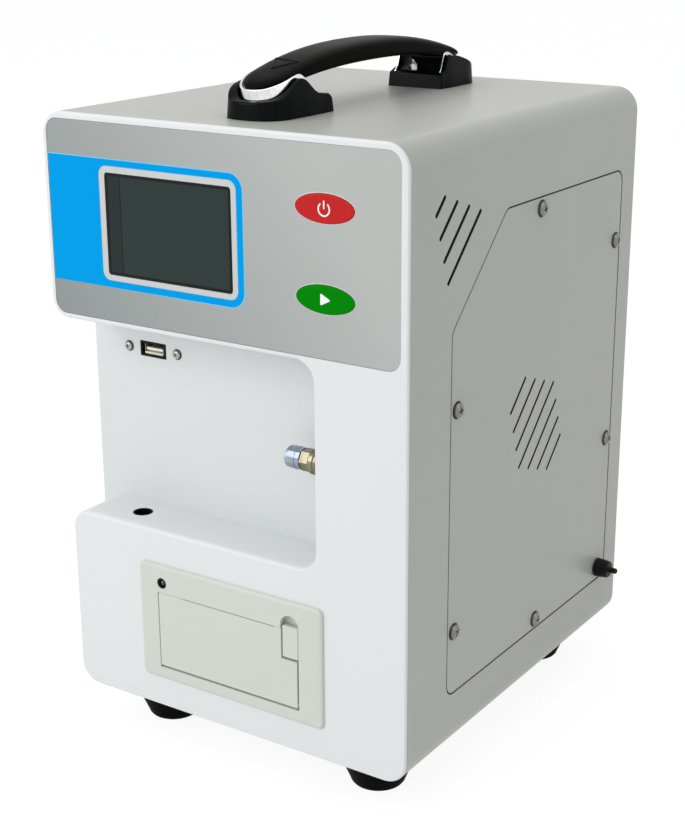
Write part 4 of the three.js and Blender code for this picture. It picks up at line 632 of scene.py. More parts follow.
@dataclass(frozen=True)
class Finish:
    """A painted, moulded or printed surface.

    The grain's height is in micrometres; `mottle` and `drift` are how much the colour and the
    roughness change over the surface.
    """

    name: str
    colour: Colour
    roughness: float = 0.4
    metallic: float = 0.0
    coat: float = 0.0
    coat_roughness: float = 0.1
    mottle: float = 0.04
    mottle_scale: float = 18.0
    drift: float = 0.08
    drift_scale: float = 25.0
    grain: float = 6.0
    grain_scale: float = 1200.0
    pits: float = 0.3
    specular: float = 0.5

    def mottled(self, tree: Tree, colour: object) -> Socket:
        """A colour, or the colour of a socket, with this finish's mottle."""
        return place_group(tree, MOTTLE, Color=colour, Scale=self.mottle_scale, Amount=self.mottle)

    def colour_socket(self, tree: Tree) -> Socket:
        """The varied base colour."""
        return self.mottled(tree, linear(self.colour))

    def height_socket(self, tree: Tree) -> Socket:
        """The height that the bump follows."""
        return place_group(tree, GRAIN, Scale=self.grain_scale, Pits=self.pits)

    def material(self) -> bpy.types.Material:
        """Makes the whole material, or gives the one made before.

        Returns:
            The material.
        """
        made = bpy.data.materials.get(self.name)
        if made:
            return made
        material = bpy.data.materials.new(self.name)
        material.use_nodes = True
        material.diffuse_color = linear(self.colour)
        tree = material.node_tree
        shader = tree.nodes["Principled BSDF"]
        feed(shader, {
            "Metallic": self.metallic, "Coat Weight": self.coat, "Coat Roughness": self.coat_roughness,
            "Specular IOR Level": self.specular, "Base Color": self.colour_socket(tree),
            "Roughness": place_group(tree, DRIFT, Roughness=self.roughness, Scale=self.drift_scale,
                                     Amount=self.drift)})
        if self.grain > 0:
            inputs = {"Distance": self.grain * MICROMETRE, "Height": self.height_socket(tree)}
            bump = add_node(tree, "Bump", inputs)
            feed(shader, {"Normal": bump.outputs["Normal"]})
        return material


@dataclass(frozen=True)
class BrushedFinish(Finish):
    """Bare or plated metal with fine lines."""

    metallic: float = 1.0
    grain: float = 1.5
    lines: float = 400.0

    def height_socket(self, tree: Tree) -> Socket:
        """The height of the lines."""
        return place_group(tree, BRUSH, Scale=self.lines)


@dataclass(frozen=True)
class ScreenFinish(Finish):
    """A switched-off screen: dark glass with a faint pattern of cells."""

    coat: float = 0.12
    coat_roughness: float = 0.06
    mottle_scale: float = 9.0
    cell: float = 0.24
    contrast: float = 1.08

    def colour_socket(self, tree: Tree) -> Socket:
        """The varied colour with the pattern of cells."""
        cells = add_node(tree, "TexChecker", {
            "Vector": add_node(tree, "TexCoord").outputs["Object"],
            "Scale": 1 / (self.cell * MILLIMETRE), "Color1": linear(self.colour),
            "Color2": linear(tuple(c * self.contrast for c in self.colour))})
        return self.mottled(tree, cells.outputs["Color"])


@dataclass(frozen=True)
class FilmFinish(Finish):
    """A printed film whose silver colour is painted lighter towards the upper right, as a painted reflection
    of the light on it.
    """

    # light is the colour at the lit end of the painted reflection; corner and painted_light_slope set where
    # it starts and how it rises.
    light: Colour = (0.685, 0.70, 0.69)
    corner: Point3 = (2.5, 0.0, 185.6)
    painted_light_slope: Point3 = (5.2, 0.0, 3.2)

    def colour_socket(self, tree: Tree) -> Socket:
        """The film's colour with its painted reflection and its mottle.

        Args:
            tree: the material's nodes.

        Returns:
            The varied colour.
        """
        place = add_node(tree, "TexCoord").outputs["Object"]
        corner = ZERO + Vector(self.corner) * MILLIMETRE
        away = add_node(tree, "VectorMath", {0: place, 1: corner}, operation="SUBTRACT")
        painted_light_climb = add_node(tree, "VectorMath", {0: away.outputs["Vector"], 1: self.painted_light_slope},
                         operation="DOT_PRODUCT")
        # Painted reflection: the colour moves from the film's own colour towards the lighter one across the
        # film.
        shade = add_node(tree, "MapRange", {"Value": painted_light_climb.outputs["Value"]})
        painted_light_mix = {0: shade.outputs["Result"], 6: linear(self.colour), 7: linear(self.light)}
        return self.mottled(tree, add_node(tree, "Mix", painted_light_mix, data_type="RGBA").outputs[2])


class Look(Enum):
    """Every finish on the instrument."""

    MOULDING = Finish("Moulded white", (0.868, 0.878, 0.878), 0.45, mottle=0.02, grain=3.0, coat=0.08,
                      coat_roughness=0.25)
    # A darker copy of the white moulding: painted shade for the bay's back wall, which lies deep in the
    # recess.
    SHADED_BAY_WALL = Finish("Moulded white, painted shade", (0.845, 0.857, 0.857), 0.5, mottle=0.02, grain=3.0)
    CASE = Finish("Warm grey paint", (0.677, 0.68, 0.652), 0.44, mottle=0.03, grain=7.0, grain_scale=850.0,
                  coat=0.12, coat_roughness=0.16)
    # The case paint darkened: painted shade for the flanges that show through the gaps.
    SHADED_CASE_SHEET = Finish("Shaded sheet", (0.42, 0.42, 0.40), 0.5, mottle=0.05)
    # The film's colour carries a painted reflection, lighter towards the upper right.
    FILM = FilmFinish("Overlay film", (0.518, 0.543, 0.538), 0.42, metallic=0.1, mottle=0.03, grain=2.0,
                      mottle_scale=10.0, grain_scale=2200.0, coat=0.06, coat_roughness=0.25)
    PRINT_BLUE = Finish("Blue print", (0.0, 0.60, 0.88), 0.5, mottle=0.02, grain=1.5, specular=0.02)
    PRINT_CYAN = Finish("Light blue print", (0.45, 0.80, 0.95), 0.42, mottle=0.02, grain=1.5, specular=0.3)
    PRINT_SILVER = Finish("Silver print", (0.76, 0.77, 0.765), 0.38, metallic=0.2, mottle=0.02, grain=1.5)
    SCREEN = ScreenFinish("Screen", (0.085, 0.155, 0.145), 0.25, mottle=0.14, specular=0.2)
    SCREEN_STRIP = ScreenFinish("Screen strip", (0.055, 0.105, 0.105), 0.25, mottle=0.14, specular=0.2)
    SCREEN_RIM = Finish("Screen rim", (0.03, 0.034, 0.034), 0.25, mottle=0.1, grain=0.0, coat=0.08,
                        coat_roughness=0.08, specular=0.15)
    KEY_RED = Finish("Red key", (0.753, 0.144, 0.152), 0.4, mottle=0.03, grain=1.5, specular=0.05, coat=0.03)
    KEY_GREEN = Finish("Green key", (0.0, 0.51, 0.01), 0.4, mottle=0.03, grain=1.5, specular=0.02, coat=0.01)
    MARK_WHITE = Finish("White print", (0.95, 0.95, 0.94), 0.4, mottle=0.02, grain=1.0)
    PRINTER = Finish("Printer beige", (0.80, 0.812, 0.782), 0.46, mottle=0.025, grain=5.0, grain_scale=1500.0)
    BLACK = Finish("Moulded black", (0.045, 0.045, 0.05), 0.42, mottle=0.2, grain=5.0, grain_scale=1500.0,
                   specular=0.15)
    MOVING_BLACK = Finish("Greyer black", (0.13, 0.132, 0.137), 0.36, mottle=0.15, grain=4.0,
                          grain_scale=1500.0)
    # Near black: painted shade inside hollows, gaps, the needle well, the socket and the handle's engraving.
    SHADE_BLACK = Finish("Painted shade black", (0.02, 0.02, 0.02), 0.7, mottle=0.3, grain=3.0, specular=0.2)
    SLOT = Finish("Slot shade", (0.18, 0.18, 0.175), 0.6, mottle=0.3, mottle_scale=60.0, grain=3.0,
                  specular=0.2)
    SEAT_SHADE = Finish("Screw seat shade", (0.16, 0.16, 0.16), 0.6, mottle=0.2, grain=3.0)
    GRIP = Finish("Satin grip", (0.055, 0.058, 0.053), 0.36, mottle=0.15, grain=7.0, grain_scale=1700.0,
                  specular=0.014)
    BLOCK = Finish("Gloss black", (0.03, 0.033, 0.04), 0.3, mottle=0.15, grain=4.0, coat=0.09,
                   coat_roughness=0.15, specular=0.02)
    RUBBER = Finish("Foot rubber", (0.02, 0.021, 0.023), 0.55, mottle=0.3, mottle_scale=60.0, drift=0.15,
                    grain=14.0, grain_scale=800.0, pits=0.6, specular=0.02)
    # The strong mottle paints dark and bright patches on the chrome in place of what it reflects: painted
    # reflection.
    CHROME = BrushedFinish("Chrome", (0.84, 0.85, 0.85), 0.09, mottle=1.5, mottle_scale=45.0, drift=0.04,
                           grain=0.3)
    STEEL = BrushedFinish("Plated steel", (0.68, 0.68, 0.67), 0.26, mottle=0.08, drift=0.12)
    # A darker copy of the plated steel: painted shade for the screws of the side panel and the back.
    SCREW = BrushedFinish("Screw steel, painted shade", (0.50, 0.50, 0.49), 0.22, mottle=0.5, mottle_scale=140.0,
                          drift=0.12)
    NICKEL = BrushedFinish("Nickel on brass", (0.51, 0.485, 0.41), 0.28, mottle=1.3, mottle_scale=120.0,
                           drift=0.12)
    BLUE_PLATE = BrushedFinish("Blue plating", (0.60, 0.64, 0.695), 0.42, mottle=0.7, mottle_scale=120.0)
    GOLD = BrushedFinish("Gold contact", (0.90, 0.72, 0.35), 0.2, mottle=0.05)
    TONGUE = Finish("Cream tongue", (0.97, 0.95, 0.88))
    PAPER = Finish("Roll paper", (0.95, 0.95, 0.93), 0.8, mottle=0.03, mottle_scale=300.0, grain=10.0,
                   grain_scale=2600.0)
    BOARD = Finish("Solder mask", (0.06, 0.33, 0.2), 0.35, mottle=0.25, mottle_scale=160.0, coat=0.3)
    CAN = BrushedFinish("Folded sheet can", (0.74, 0.74, 0.73), 0.3, mottle=0.05)
    PUMP = BrushedFinish("Cast pump metal", (0.55, 0.57, 0.58), 0.42, mottle=0.1, grain=9.0)
    CELL = Finish("Cell plastic", (0.90, 0.90, 0.87), 0.45)
    HOSE = Finish("Soft hose", (0.84, 0.88, 0.89), 0.3, mottle=0.06, coat=0.3)
    LAMP = Finish("Lamp lens", (0.10, 0.12, 0.11), 0.12, mottle=0.1, grain=0.0, coat=0.8, coat_roughness=0.05)


def dress(piece: Object, look: Look, body: str | None = None,
          replaces: Sequence[str] = ()) -> None:
    """Gives a piece its material, its body and the solids that it stands for.

    Args:
        piece: the mesh object.
        look: its finish.
        body: the body that it rides on, or None for a solid that rides already.
        replaces: the solids that it stands for.
    """
    piece.data.materials.clear()
    piece.data.materials.append(look.value.material())
    if body:
        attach(piece, body)
    if replaces:
        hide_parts(*replaces)
    LOG.info("piece %s: %s", piece.name, look.value.name)


def dress_solids(looks: dict[str, Look]) -> None:
    """Gives solids that stay in view a better material."""
    for name, look in looks.items():
        dress(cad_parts[name], look)


# Sub-assemblies


@dataclass
class SubAssembly:
    """A sub-assembly, and the body that its pieces ride on unless they name another."""

    body: str = "case"

    def show(self, form: Form, name: str, look: Look, slot: str, replaces: str | None = None,
             body: str | None = None, angle: float = SMOOTH_ANGLE) -> None:
        """Makes a piece of a form and dresses it; it rides on the sub-assembly's body if none is given."""
        dress(form.object(name, angle), look, body or self.body, [replaces] if replaces else [])


@dataclass(frozen=True)
class Screw:
    """A kind of pan-head screw with a cross recess, whose head looks along an axis.

    The seat is the outer radius of the countersink round the head, whose ring is painted dark as painted
    shade, or zero for none.
    """

    radius: float
    height: float
    axis: Axis
    sign: int
    look: Look
    seat: float = 0.0
    shank: Point2 = (0.42, 5.0)
    crown: float = 0.35
    cross: Point2 = (0.55, 0.11)

    def head(self, name: str) -> Object:
        """Makes a screw with its head along +Z, at the zero of sizes.

        Args:
            name: the object's name.

        Returns:
            The screw.
        """
        shank, length = self.radius * self.shank[0], self.shank[1]
        profile = [(0.0, -length), (shank, -length), (shank, 0.0), (self.radius, 0.0)]
        for i in range(9):
            angle = math.pi / 2 * i / 8
            across, up = math.cos(angle) ** 0.8, math.sin(angle)
            profile.append((self.radius * (self.crown + (1 - self.crown) * across),
                            self.height * (self.crown + (1 - self.crown) * up)))
        profile.append((0.0, self.height))
        arm, half = (self.radius * share for share in self.cross)
        tools = []
        for wide, deep in ((arm, half), (half, arm)):
            rings = [[Vector((x * wide * share, y * deep * share, self.height * level)) for x, y in CORNERS]
                     for share, level in ((0.5, 0.25), (1.0, 1.1))]
            tools.append(Form().rings(rings).object("cross_tool"))
        return carve(Form().turned(Axis.Z, profile, (0, 0, 0), 32).object(name), tools, 30)

    def build(self, name: str, place: Sequence[float], turn: float, replaces: str) -> None:
        """Builds and dresses one screw, with a ring of painted shade in its seat.

        Args:
            name: the object's name.
            place: the middle of its seat.
            turn: how far it is driven round, in degrees.
            replaces: the solid that it stands for.
        """
        screw, middle, face = self.head(name), Vector(place), Vector((0, 0, 0))
        face[self.axis.value] = self.sign
        rotation = Vector((0, 0, 1)).rotation_difference(face).to_matrix().to_4x4()
        spin = Matrix.Rotation(math.radians(turn), 4, "Z")
        home = Matrix.Translation(ZERO + middle * MILLIMETRE)
        screw.data.transform(home @ rotation @ spin @ Matrix.Translation(-ZERO))
        dress(screw, self.look, "case", [replaces])
        # The ring in the countersink round the head is painted dark: painted shade.
        if self.seat:
            depth, inner = middle[self.axis.value], self.seat - 0.9
            middle[self.axis.value] = 0
            ring = [(inner, depth - self.sign * 0.6), (self.seat, depth - self.sign * 0.6),
                    (self.seat, depth - self.sign * 0.04), (self.seat - 0.15, depth), (inner, depth)]
            piece = Form().turned(self.axis, ring, middle, 32).object(f"{name}_seat")
            dress(piece, Look.SEAT_SHADE, "case")


@dataclass
class Front(SubAssembly):
    """The white front moulding with its bay and its stepped base.

    A room is what is cut away behind the face: how far its outline is drawn in, how far it is
    opened, and the depth where it starts.
    """

    width: float = 190.0
    height: float = 276.4
    depth: float = 33.0
    wall: float = 1.5
    corner: float = 11.0
    bay_right: float = 144.3
    bay_top: float = 183.1
    bay_floor: float = 90.0
    bay_depth: float = 27.0
    bay_corner: float = 9.0
    head_corner: float = 9.0
    base_inset: float = 4.8
    base_corner: float = 10.0
    left_wrap: float = 15.7
    side_top: float = 191.8
    side_depth: float = 29.0
    rim: Rim = Rim(1.0, 1.2)
    wall_rim: Rim = Rim(0.8, 0.8)
    socket_rim: Rim = Rim(0.15, 0.15)
    ledge_rim: float = 2.1
    head_rim: float = 1.8
    wrap_room: Point3 = (1.8, -4.5, 1.3)
    skirt_room: Point3 = (-2.0, 2.0, 12.0)
    face_room: Point3 = (3.8, 2.0, 3.0)
    corner_steps: int = 14
    slot: str = "fascia_white"

    def outline(self, wrap: float, opening: float) -> Outline:
        """Draws the front's outline.

        Args:
            wrap: how far it is drawn in where the case wraps it.
            opening: how far the bay's edges move out into the front.

        Returns:
            The outline.
        """
        def less(radius: float, by: float) -> float:
            """A corner's radius once its edge is drawn in."""
            return max(radius - by, self.wall)

        base, right, top = self.base_inset + opening, self.width - wrap, self.height - wrap
        wall, head, floor = self.bay_right + opening, self.bay_top + opening, self.bay_floor - opening
        outer, inner = less(self.corner, wrap), self.bay_corner + opening
        foot = less(self.base_corner, opening)
        return filleted([
            (base, wrap, foot), (right, wrap, outer), (right, top, outer), (wrap, top, outer),
            (wrap, head, less(self.head_corner, opening)), (wall, head, inner), (wall, floor, inner),
            (base, floor, foot)], self.corner_steps)

    def rim_share(self, point: Point2) -> float:
        """Tells how round the rim is.

        Args:
            point: a point of the outline.

        Returns:
            A share of the rim, more along the ledge's front edge and the head's lower edge.
        """
        x, z = point
        near, end = 0.5, self.bay_right - 4
        if abs(z - self.bay_floor) < near and self.base_inset + 4 < x < end:
            return self.ledge_rim
        return self.head_rim if abs(z - self.bay_top) < near and self.head_corner < x < end else 1.0

    def wall_outline(self) -> Outline:
        """Draws the bay's back wall, which runs down beside the base as far as the case.

        Returns:
            The outline.
        """
        left, lap = self.left_wrap, 4.0
        right, low, top = self.bay_right + lap, self.bay_floor - lap, self.bay_top + lap
        return filleted([
            (0, 0, self.corner), (left, 0, 0), (left, low, 0), (right, low, 0), (right, top, 0),
            (left, top, 0), (left, self.side_top, 0), (0, self.side_top, 0)], self.corner_steps)

    def room(self, name: str, size: Point3, end: float, around: Sequence[Outline] = ()) -> Object:
        """The tool that cuts a room up to a depth, or what lies between its outline and one around it."""
        drawn_in, opened, start = size
        return Form().front([*around, self.outline(drawn_in, opened)], start, end).object(name)

    def build(self, overlay: "Overlay", printer: "Printer", bay: "Bay") -> None:
        """Builds and dresses the moulding with all its openings.

        Args:
            overlay: the overlay that is let into the head.
            printer: the printer that goes through the base.
            bay: the fittings of the bay.
        """
        outside = Edge(self.outline(0, 0), self.rim, share=self.rim_share)
        moulding = Form().front([outside], 0, self.depth, 4).object("front_moulding")
        through = self.depth + 3
        wrap = self.room("wrap_room", self.wrap_room, self.depth + 2, [rectangle(-3, 193, -3, 280)])
        skirt = self.room("behind_skirt", self.skirt_room, through)
        side_end = (self.left_wrap, self.side_depth, self.side_top)
        for tool in (wrap, skirt):
            carve(tool, [block("keep_left", (-5, -0.7, -5), side_end)])
        face = self.room("front_room", self.face_room, through)
        far = block("far_side", (-6, self.bay_depth + 1, -6), (196, 40, 284))
        holes = [*overlay.cutters(), printer.neck_cutter(), *bay.front_cutters()]
        carve(moulding, [wrap, skirt, face, far, *holes])
        dress(moulding, Look.MOULDING, self.body, ["front_fascia"])
        back = Edge(self.wall_outline(), self.wall_rim,
                    share=lambda point: 1.0 if point[0] < self.corner else 0.02)
        edges = [back, Edge(bay.socket_outline(0.3), self.socket_rim)]
        # The back wall takes the darker copy of the moulding, as painted shade in the bay.
        self.show(Form().front(edges, self.bay_depth, self.side_depth), "bay_wall", Look.SHADED_BAY_WALL, self.slot)


@dataclass
class Overlay(SubAssembly):
    """The grey overlay with its printed band, the screen and the two oval keys.

    The prints stand proud of the film's face by a few hundredths and reach a little into it.
    """

    sheet: Box = (2.5, 186.3, 185.6, 273.3)
    corner: float = 6.0
    face: float = 0.15
    back: float = 0.95
    film_rim: Rim = Rim(0.12, 0.12)
    print_root: float = 0.02
    band: Box = (2.7, 109.8, 201.0, 257.6)
    band_steps: int = 14
    border: Box = (32.0, 106.7, 204.1, 254.8)
    screen: Box = (35.3, 103.8, 206.8, 251.8)
    screen_corner: float = 1.5
    screen_rim: Rim = Rim(0.15, 0.15)
    bezel: float = 1.3
    key_x: float = 150.7
    power_z: float = 247.8
    test_z: float = 210.8
    key_half: Point2 = (14.35, 6.0)
    key_rim: Rim = Rim(1.5, 0.45)
    key_depths: Point2 = (-0.5, 4.4)
    flange: Point3 = (1.5, 3.3, 4.5)
    mark_depths: Point2 = (-0.53, -0.4)
    mark_ring: Point3 = (3.0, 2.35, 38.0)
    mark_bar: Box = (-0.33, 0.33, -0.1, 3.3)
    mark_tip: Point3 = (-2.1, 3.0, 2.6)

    def key_outline(self, z: float, grow: float) -> Outline:
        """A key's outline, grown on every side."""
        return oval(self.key_x, z, self.key_half[0] + grow, self.key_half[1] + grow, 72)

    def band_outline(self, grow: float, radius: float) -> Outline:
        """The band's outline, grown at its top and its right end, with its lower edge falling to match."""
        left, right, low, top = self.band[0], self.band[1] + grow, self.band[2], self.band[3] + grow
        return filleted([(left, low, 0), (right, low - grow, radius), (right, top, radius), (left, top, 0)],
                        self.band_steps)

    def cutters(self) -> list[Object]:
        """Makes what the overlay, the screen and the keys take out of the front.

        Returns:
            The tools.
        """
        gap, room, deep = 0.15, 0.4, 8.0
        shapes = [(grown(self.sheet, gap, self.corner + gap), self.back),
                  (grown(self.screen, -2.5, self.screen_corner), deep),
                  (self.key_outline(self.power_z, room), deep), (self.key_outline(self.test_z, room), deep)]
        return [Form().front([shape], -3, end).object("overlay_cutter") for shape, end in shapes]

    def build(self) -> None:
        """Builds and dresses the overlay and everything on it."""
        keys = [self.key_outline(self.power_z, 0.3), self.key_outline(self.test_z, 0.3)]
        sheet = Edge(grown(self.sheet, 0, self.corner), self.film_rim)
        edges = [sheet, grown(self.screen, 0.1, self.screen_corner), *keys]
        film = Form().front(edges, self.face, self.back, 2)
        self.show(film, "overlay_film", Look.FILM, "overlay_grey", "control_overlay")
        border = grown(self.border, 0, 4.2)
        for name, look, proud, edges in (
                ("print_band_edge", Look.PRINT_CYAN, 0.03, [self.band_outline(0.35, 7.3), border]),
                ("print_band", Look.PRINT_BLUE, 0.06, [self.band_outline(0, 7), border]),
                ("print_screen_border", Look.PRINT_SILVER, 0.05,
                 [grown(self.border, -0.05, 4.15), grown(self.screen, 0.15, 1.6)])):
            area = Form().front(edges, self.face - proud, self.face + self.print_root)
            self.show(area, name, look, "overlay_grey")
        self.build_screen()
        self.build_key(self.power_z, Look.KEY_RED, "power_key", "key_red", self.power_mark(self.power_z))
        self.build_key(self.test_z, Look.KEY_GREEN, "test_key", "key_green", self.test_mark(self.test_z))

    def build_screen(self) -> None:
        """Builds the black rim of the screen, its field and the line between its two parts."""
        field_outline = grown(self.screen, -self.bezel, 0.8)
        rim = Edge(grown(self.screen, 0, self.screen_corner), self.screen_rim)
        left, _, low, high = self.screen
        low, high = low + self.bezel, high - self.bezel
        strip = rounded(left + self.bezel, left + 8.2, low, high, 0.7)
        seam = rounded(left + 8.0, left + 8.5, low, high, 0.05)
        face, line_back = self.face, self.face + 0.12
        for name, look, edges, front, back, replaces in (
                ("screen_rim", Look.SCREEN_RIM, [rim, field_outline], face, self.back, "display_window"),
                ("screen_field", Look.SCREEN, [field_outline], face + 0.1, self.back, None),
                ("screen_strip", Look.SCREEN_STRIP, [strip], face + 0.09, line_back, None),
                ("screen_seam", Look.SCREEN_RIM, [seam], face + 0.08, line_back, None)):
            self.show(Form().front(edges, front, back, 2), name, look, "window_glass", replaces)

    def power_mark(self, z: float) -> Form:
        """Draws the ring with a bar.

        Args:
            z: the key's height.

        Returns:
            The mark's form.
        """
        outer, inner, gap = self.mark_ring
        start, end = math.pi / 2 + math.radians(gap), math.pi * 5 / 2 - math.radians(gap)
        rings = [arc((self.key_x, z - 0.2), radius, start, end, 40) for radius in (outer, inner)]
        left, right, low, high = self.mark_bar
        bar = rounded(self.key_x + left, self.key_x + right, z + low, z + high, 0.2)
        mark = Form().front([rings[0] + rings[1][::-1]], *self.mark_depths)
        return mark.front([bar], *self.mark_depths)

    def test_mark(self, z: float) -> Form:
        """The triangle that points to the right."""
        left, right, half = self.mark_tip
        corners = [(self.key_x + x, z + y, 0.4) for x, y in ((left, -half), (right, 0), (left, half))]
        return Form().front([filleted(corners, 5)], *self.mark_depths)

    def build_key(self, z: float, look: Look, name: str, slot: str, mark: Form) -> None:
        """Builds one key with its rear flange, its light edge and its plain mark.

        Args:
            z: its height.
            look: its finish.
            name: the name of its solid and of its body.
            slot: its material slot, which is not used.
            mark: its mark.
        """
        grow, flange_front, flange_back = self.flange
        cap = Form().front([Edge(self.key_outline(z, 0), self.key_rim)], *self.key_depths, 6)
        cap.front([self.key_outline(z, grow)], flange_front, flange_back)
        self.show(cap, f"{name}_cap", look, slot, name, name)
        edges = [Edge(self.key_outline(z, 0.55), Rim(0.1, 0.1)), self.key_outline(z, 0.12)]
        ring = Form().front(edges, self.face - 0.1, self.face + self.print_root, 2)
        self.show(ring, f"{name}_edge", Look.PRINT_SILVER, "overlay_grey")
        self.show(mark, f"{name}_mark", Look.MARK_WHITE, slot, body=name)


@dataclass
class Bay(SubAssembly):
    """The sample bay: data socket, its screws, the needle well and the sample port with its nut.

    The profiles give radius and place along the port's axis of each point.
    """

    wall: float = 27.0
    floor: float = 90.0
    socket: Point2 = (35.6, 165.7)
    socket_half: Point2 = (7.3, 3.3)
    socket_depth: float = 15.0
    screw_gap: float = 14.3
    screw: Screw = Screw(2.05, 1.3, Axis.Y, -1, Look.STEEL, 2.5)
    port_y: float = 14.0
    port_z: float = 134.5
    port_bore: Box = (0.0, 4.8, 140.0, 150.0)
    tip: float = 121.5
    collar: float = 134.4
    step: float = 129.6
    collar_profile: Line = (
        (1.5, 122.9), (3.3, 122.9), (3.3, 129.7), (4.4, 129.7), (4.4, 134.4), (5.3, 134.4), (5.8, 135.0),
        (5.8, 136.8), (5.3, 137.3), (5.3, 138.0), (5.9, 138.6), (6.0, 143.6), (5.8, 144.0), (4.5, 144.0),
        (4.5, 157.0), (1.5, 157.0))
    hexagon: Point2 = (5.2, 3.4)
    nut: Point2 = (5.0, 3.7)
    nut_lip: Line = ((2.2, 121.5), (4.0, 121.5), (4.7, 122.2), (4.7, 123.5), (2.2, 123.5))
    nut_ring: Line = ((4.6, 126.4), (5.1, 126.6), (5.1, 127.0), (4.6, 127.2))
    well: Point2 = (36.5, 13.6)
    well_radius: float = 4.5

    def socket_outline(self, grow: float) -> Outline:
        """The data socket's outline, grown on every side."""
        return pad(*self.socket, self.socket_half[0] + grow, self.socket_half[1] + grow, 0.4)

    def front_cutters(self) -> list[Object]:
        """Makes what the well and the port take out of the bay's floor and right wall.

        Returns:
            The tools.
        """
        well = ring_profile(0, self.well_radius, self.floor - 6, self.floor + 3)
        drill = Form().turned(Axis.Z, well, (*self.well, 0), 48)
        bore = Form().turned(Axis.X, ring_profile(*self.port_bore), (0, self.port_y, self.port_z), 48)
        return [drill.object("well_drill"), bore.object("port_drill")]

    def build(self) -> None:
        """Builds and dresses the fittings of the bay."""
        self.build_socket()
        # The well's cup is painted near black, as painted shade inside the well.
        dress_solids({"needle_well": Look.SHADE_BLACK})
        half, top, bottom = 0.25, self.floor + 0.05, self.floor - 1.9
        lip = ring_profile(self.well_radius - half, self.well_radius + half, top, bottom)
        self.show(Form().turned(Axis.Z, lip, (*self.well, 0)), "well_liner", Look.BLACK, "moulded_black")
        self.build_port()

    def build_socket(self) -> None:
        """Builds the data socket: shell, springs, tongue and contacts."""
        x, z = self.socket
        front, back = self.wall - 0.3, self.wall + self.socket_depth
        shell = Form().front([self.socket_outline(-0.5), self.socket_outline(-0.8)], front + 1.6, back)
        for side in (-1, 1):
            spring = Edge(pad(x + side * 6.0, z, 0.35, 2.2, 0.3), Rim(0.2, 0.2))
            shell.front([spring], front + 1.6, front + 5, 2)
            for row in (-1, 1):
                bends = ((2.4, 2.4), (7, 1.9), (11, 2.4))
                path = [Vector((x + side * 3.2, front + deep, z + row * up)) for deep, up in bends]
                shell.tube(path, 0.3, 8)
        self.show(shell, "socket_shell", Look.STEEL, "bright_steel", "usb_socket")
        # The lining, the flange round the opening and the plate at its back are painted near black, as
        # painted shade inside the socket.
        lining = Form()
        flange = [Edge(self.socket_outline(0.32), Rim(0.2, 0.2)),
                  Edge(self.socket_outline(-0.85), Rim(0.15, 0.15))]
        for edges, start, end in (
                (flange, self.wall - 0.22, self.wall + 1.2),
                ([self.socket_outline(0.3), self.socket_outline(-0.45)], self.wall + 1.2, back),
                ([self.socket_outline(-0.82), self.socket_outline(-0.95)], front + 1.8, back),
                ([self.socket_outline(-0.3)], back - 1.2, back)):
            lining.front(edges, start, end, 2)
        self.show(lining, "socket_shade_lining", Look.SHADE_BLACK, "moulded_black")
        tongue = Form()
        for box, radius, rim, start in (((-4.5, 5.1, -0.6, 0.7), 0.25, Rim(0.2, 0.2), 1.0),
                                        ((-5.4, 5.2, -2.45, -1.55), 0.15, Rim(0.1, 0.1), 0.8)):
            left, right, low, high = box
            area = rounded(x + left, x + right, z + low, z + high, radius)
            tongue.front([Edge(area, rim)], front + start, back - 0.8, 2)
        self.show(tongue, "socket_tongue", Look.TONGUE, "bright_steel")
        contacts = Form()
        for number in range(4):
            place = x - 3.5 + number * 7 / 3
            contacts.front([rounded(place - 0.5, place + 0.5, z + 0.68, z + 0.85, 0.03)],
                           front + 1.6, back - 2)
        self.show(contacts, "socket_contacts", Look.GOLD, "bright_steel")
        for side, name in ((-1, "left"), (1, "right")):
            self.screw.build(f"socket_screw_{name}", (x + side * self.screw_gap, front, z), 20 + side * 25,
                             f"usb_screw_{name}")

    def sides(self, count: int, radius: float, offset: float, corner: float) -> Outline:
        """A many-sided section round the port's axis, turned by a share of a side, with rounded corners."""
        angles = [2 * math.pi / count * (i + offset) for i in range(count)]
        return filleted([(self.port_y + radius * math.cos(a), self.port_z + radius * math.sin(a), corner)
                         for a in angles], 3)

    def build_port(self) -> None:
        """Builds the port's collar and hexagon, and the flat-sided nut on its tip."""
        centre = (0, self.port_y, self.port_z)
        port = Form().turned(Axis.X, self.collar_profile, centre)
        radius, bore = self.hexagon
        edges = [Edge(self.sides(6, radius, 0, 0.5), Rim(0.4, 0.4), Rim(0.3, 0.3)),
                 oval(self.port_y, self.port_z, bore, bore, 32)]
        port.side(edges, self.step, self.collar - 0.1)
        self.show(port, "port_fitting", Look.NICKEL, "nickel_brass", "sample_port")
        radius, bore = self.nut
        edges = [Edge(self.sides(12, radius, 0.4, 0.3), Rim(0.8, 1.1), Rim(0.3, 0.25)),
                 oval(self.port_y, self.port_z, bore, bore, 40)]
        nut = Form().side(edges, self.tip + 0.9, self.tip + 8.0)
        for profile in (self.nut_lip, self.nut_ring):
            nut.turned(Axis.X, profile, centre)
        self.show(nut, "port_nut", Look.BLUE_PLATE, "plated_nut", "sample_nut", "sample_nut", 20)


@dataclass(frozen=True)
class SlotRow:
    """A row of slanted slots that runs down towards the rear.

    The half length grows by `growth` with each slot away from the one numbered zero.
    """

    place: Point2
    pitch: float
    half: float
    growth: float
    width: float
    numbers: range

    def slots(self) -> list[Box]:
        """Place, half length and width of each slot."""
        steps = [(i, i * self.pitch * math.sqrt(0.5)) for i in self.numbers]
        return [(self.place[0] + step, self.place[1] - step, self.half + abs(i) * self.growth, self.width)
                for i, step in steps]


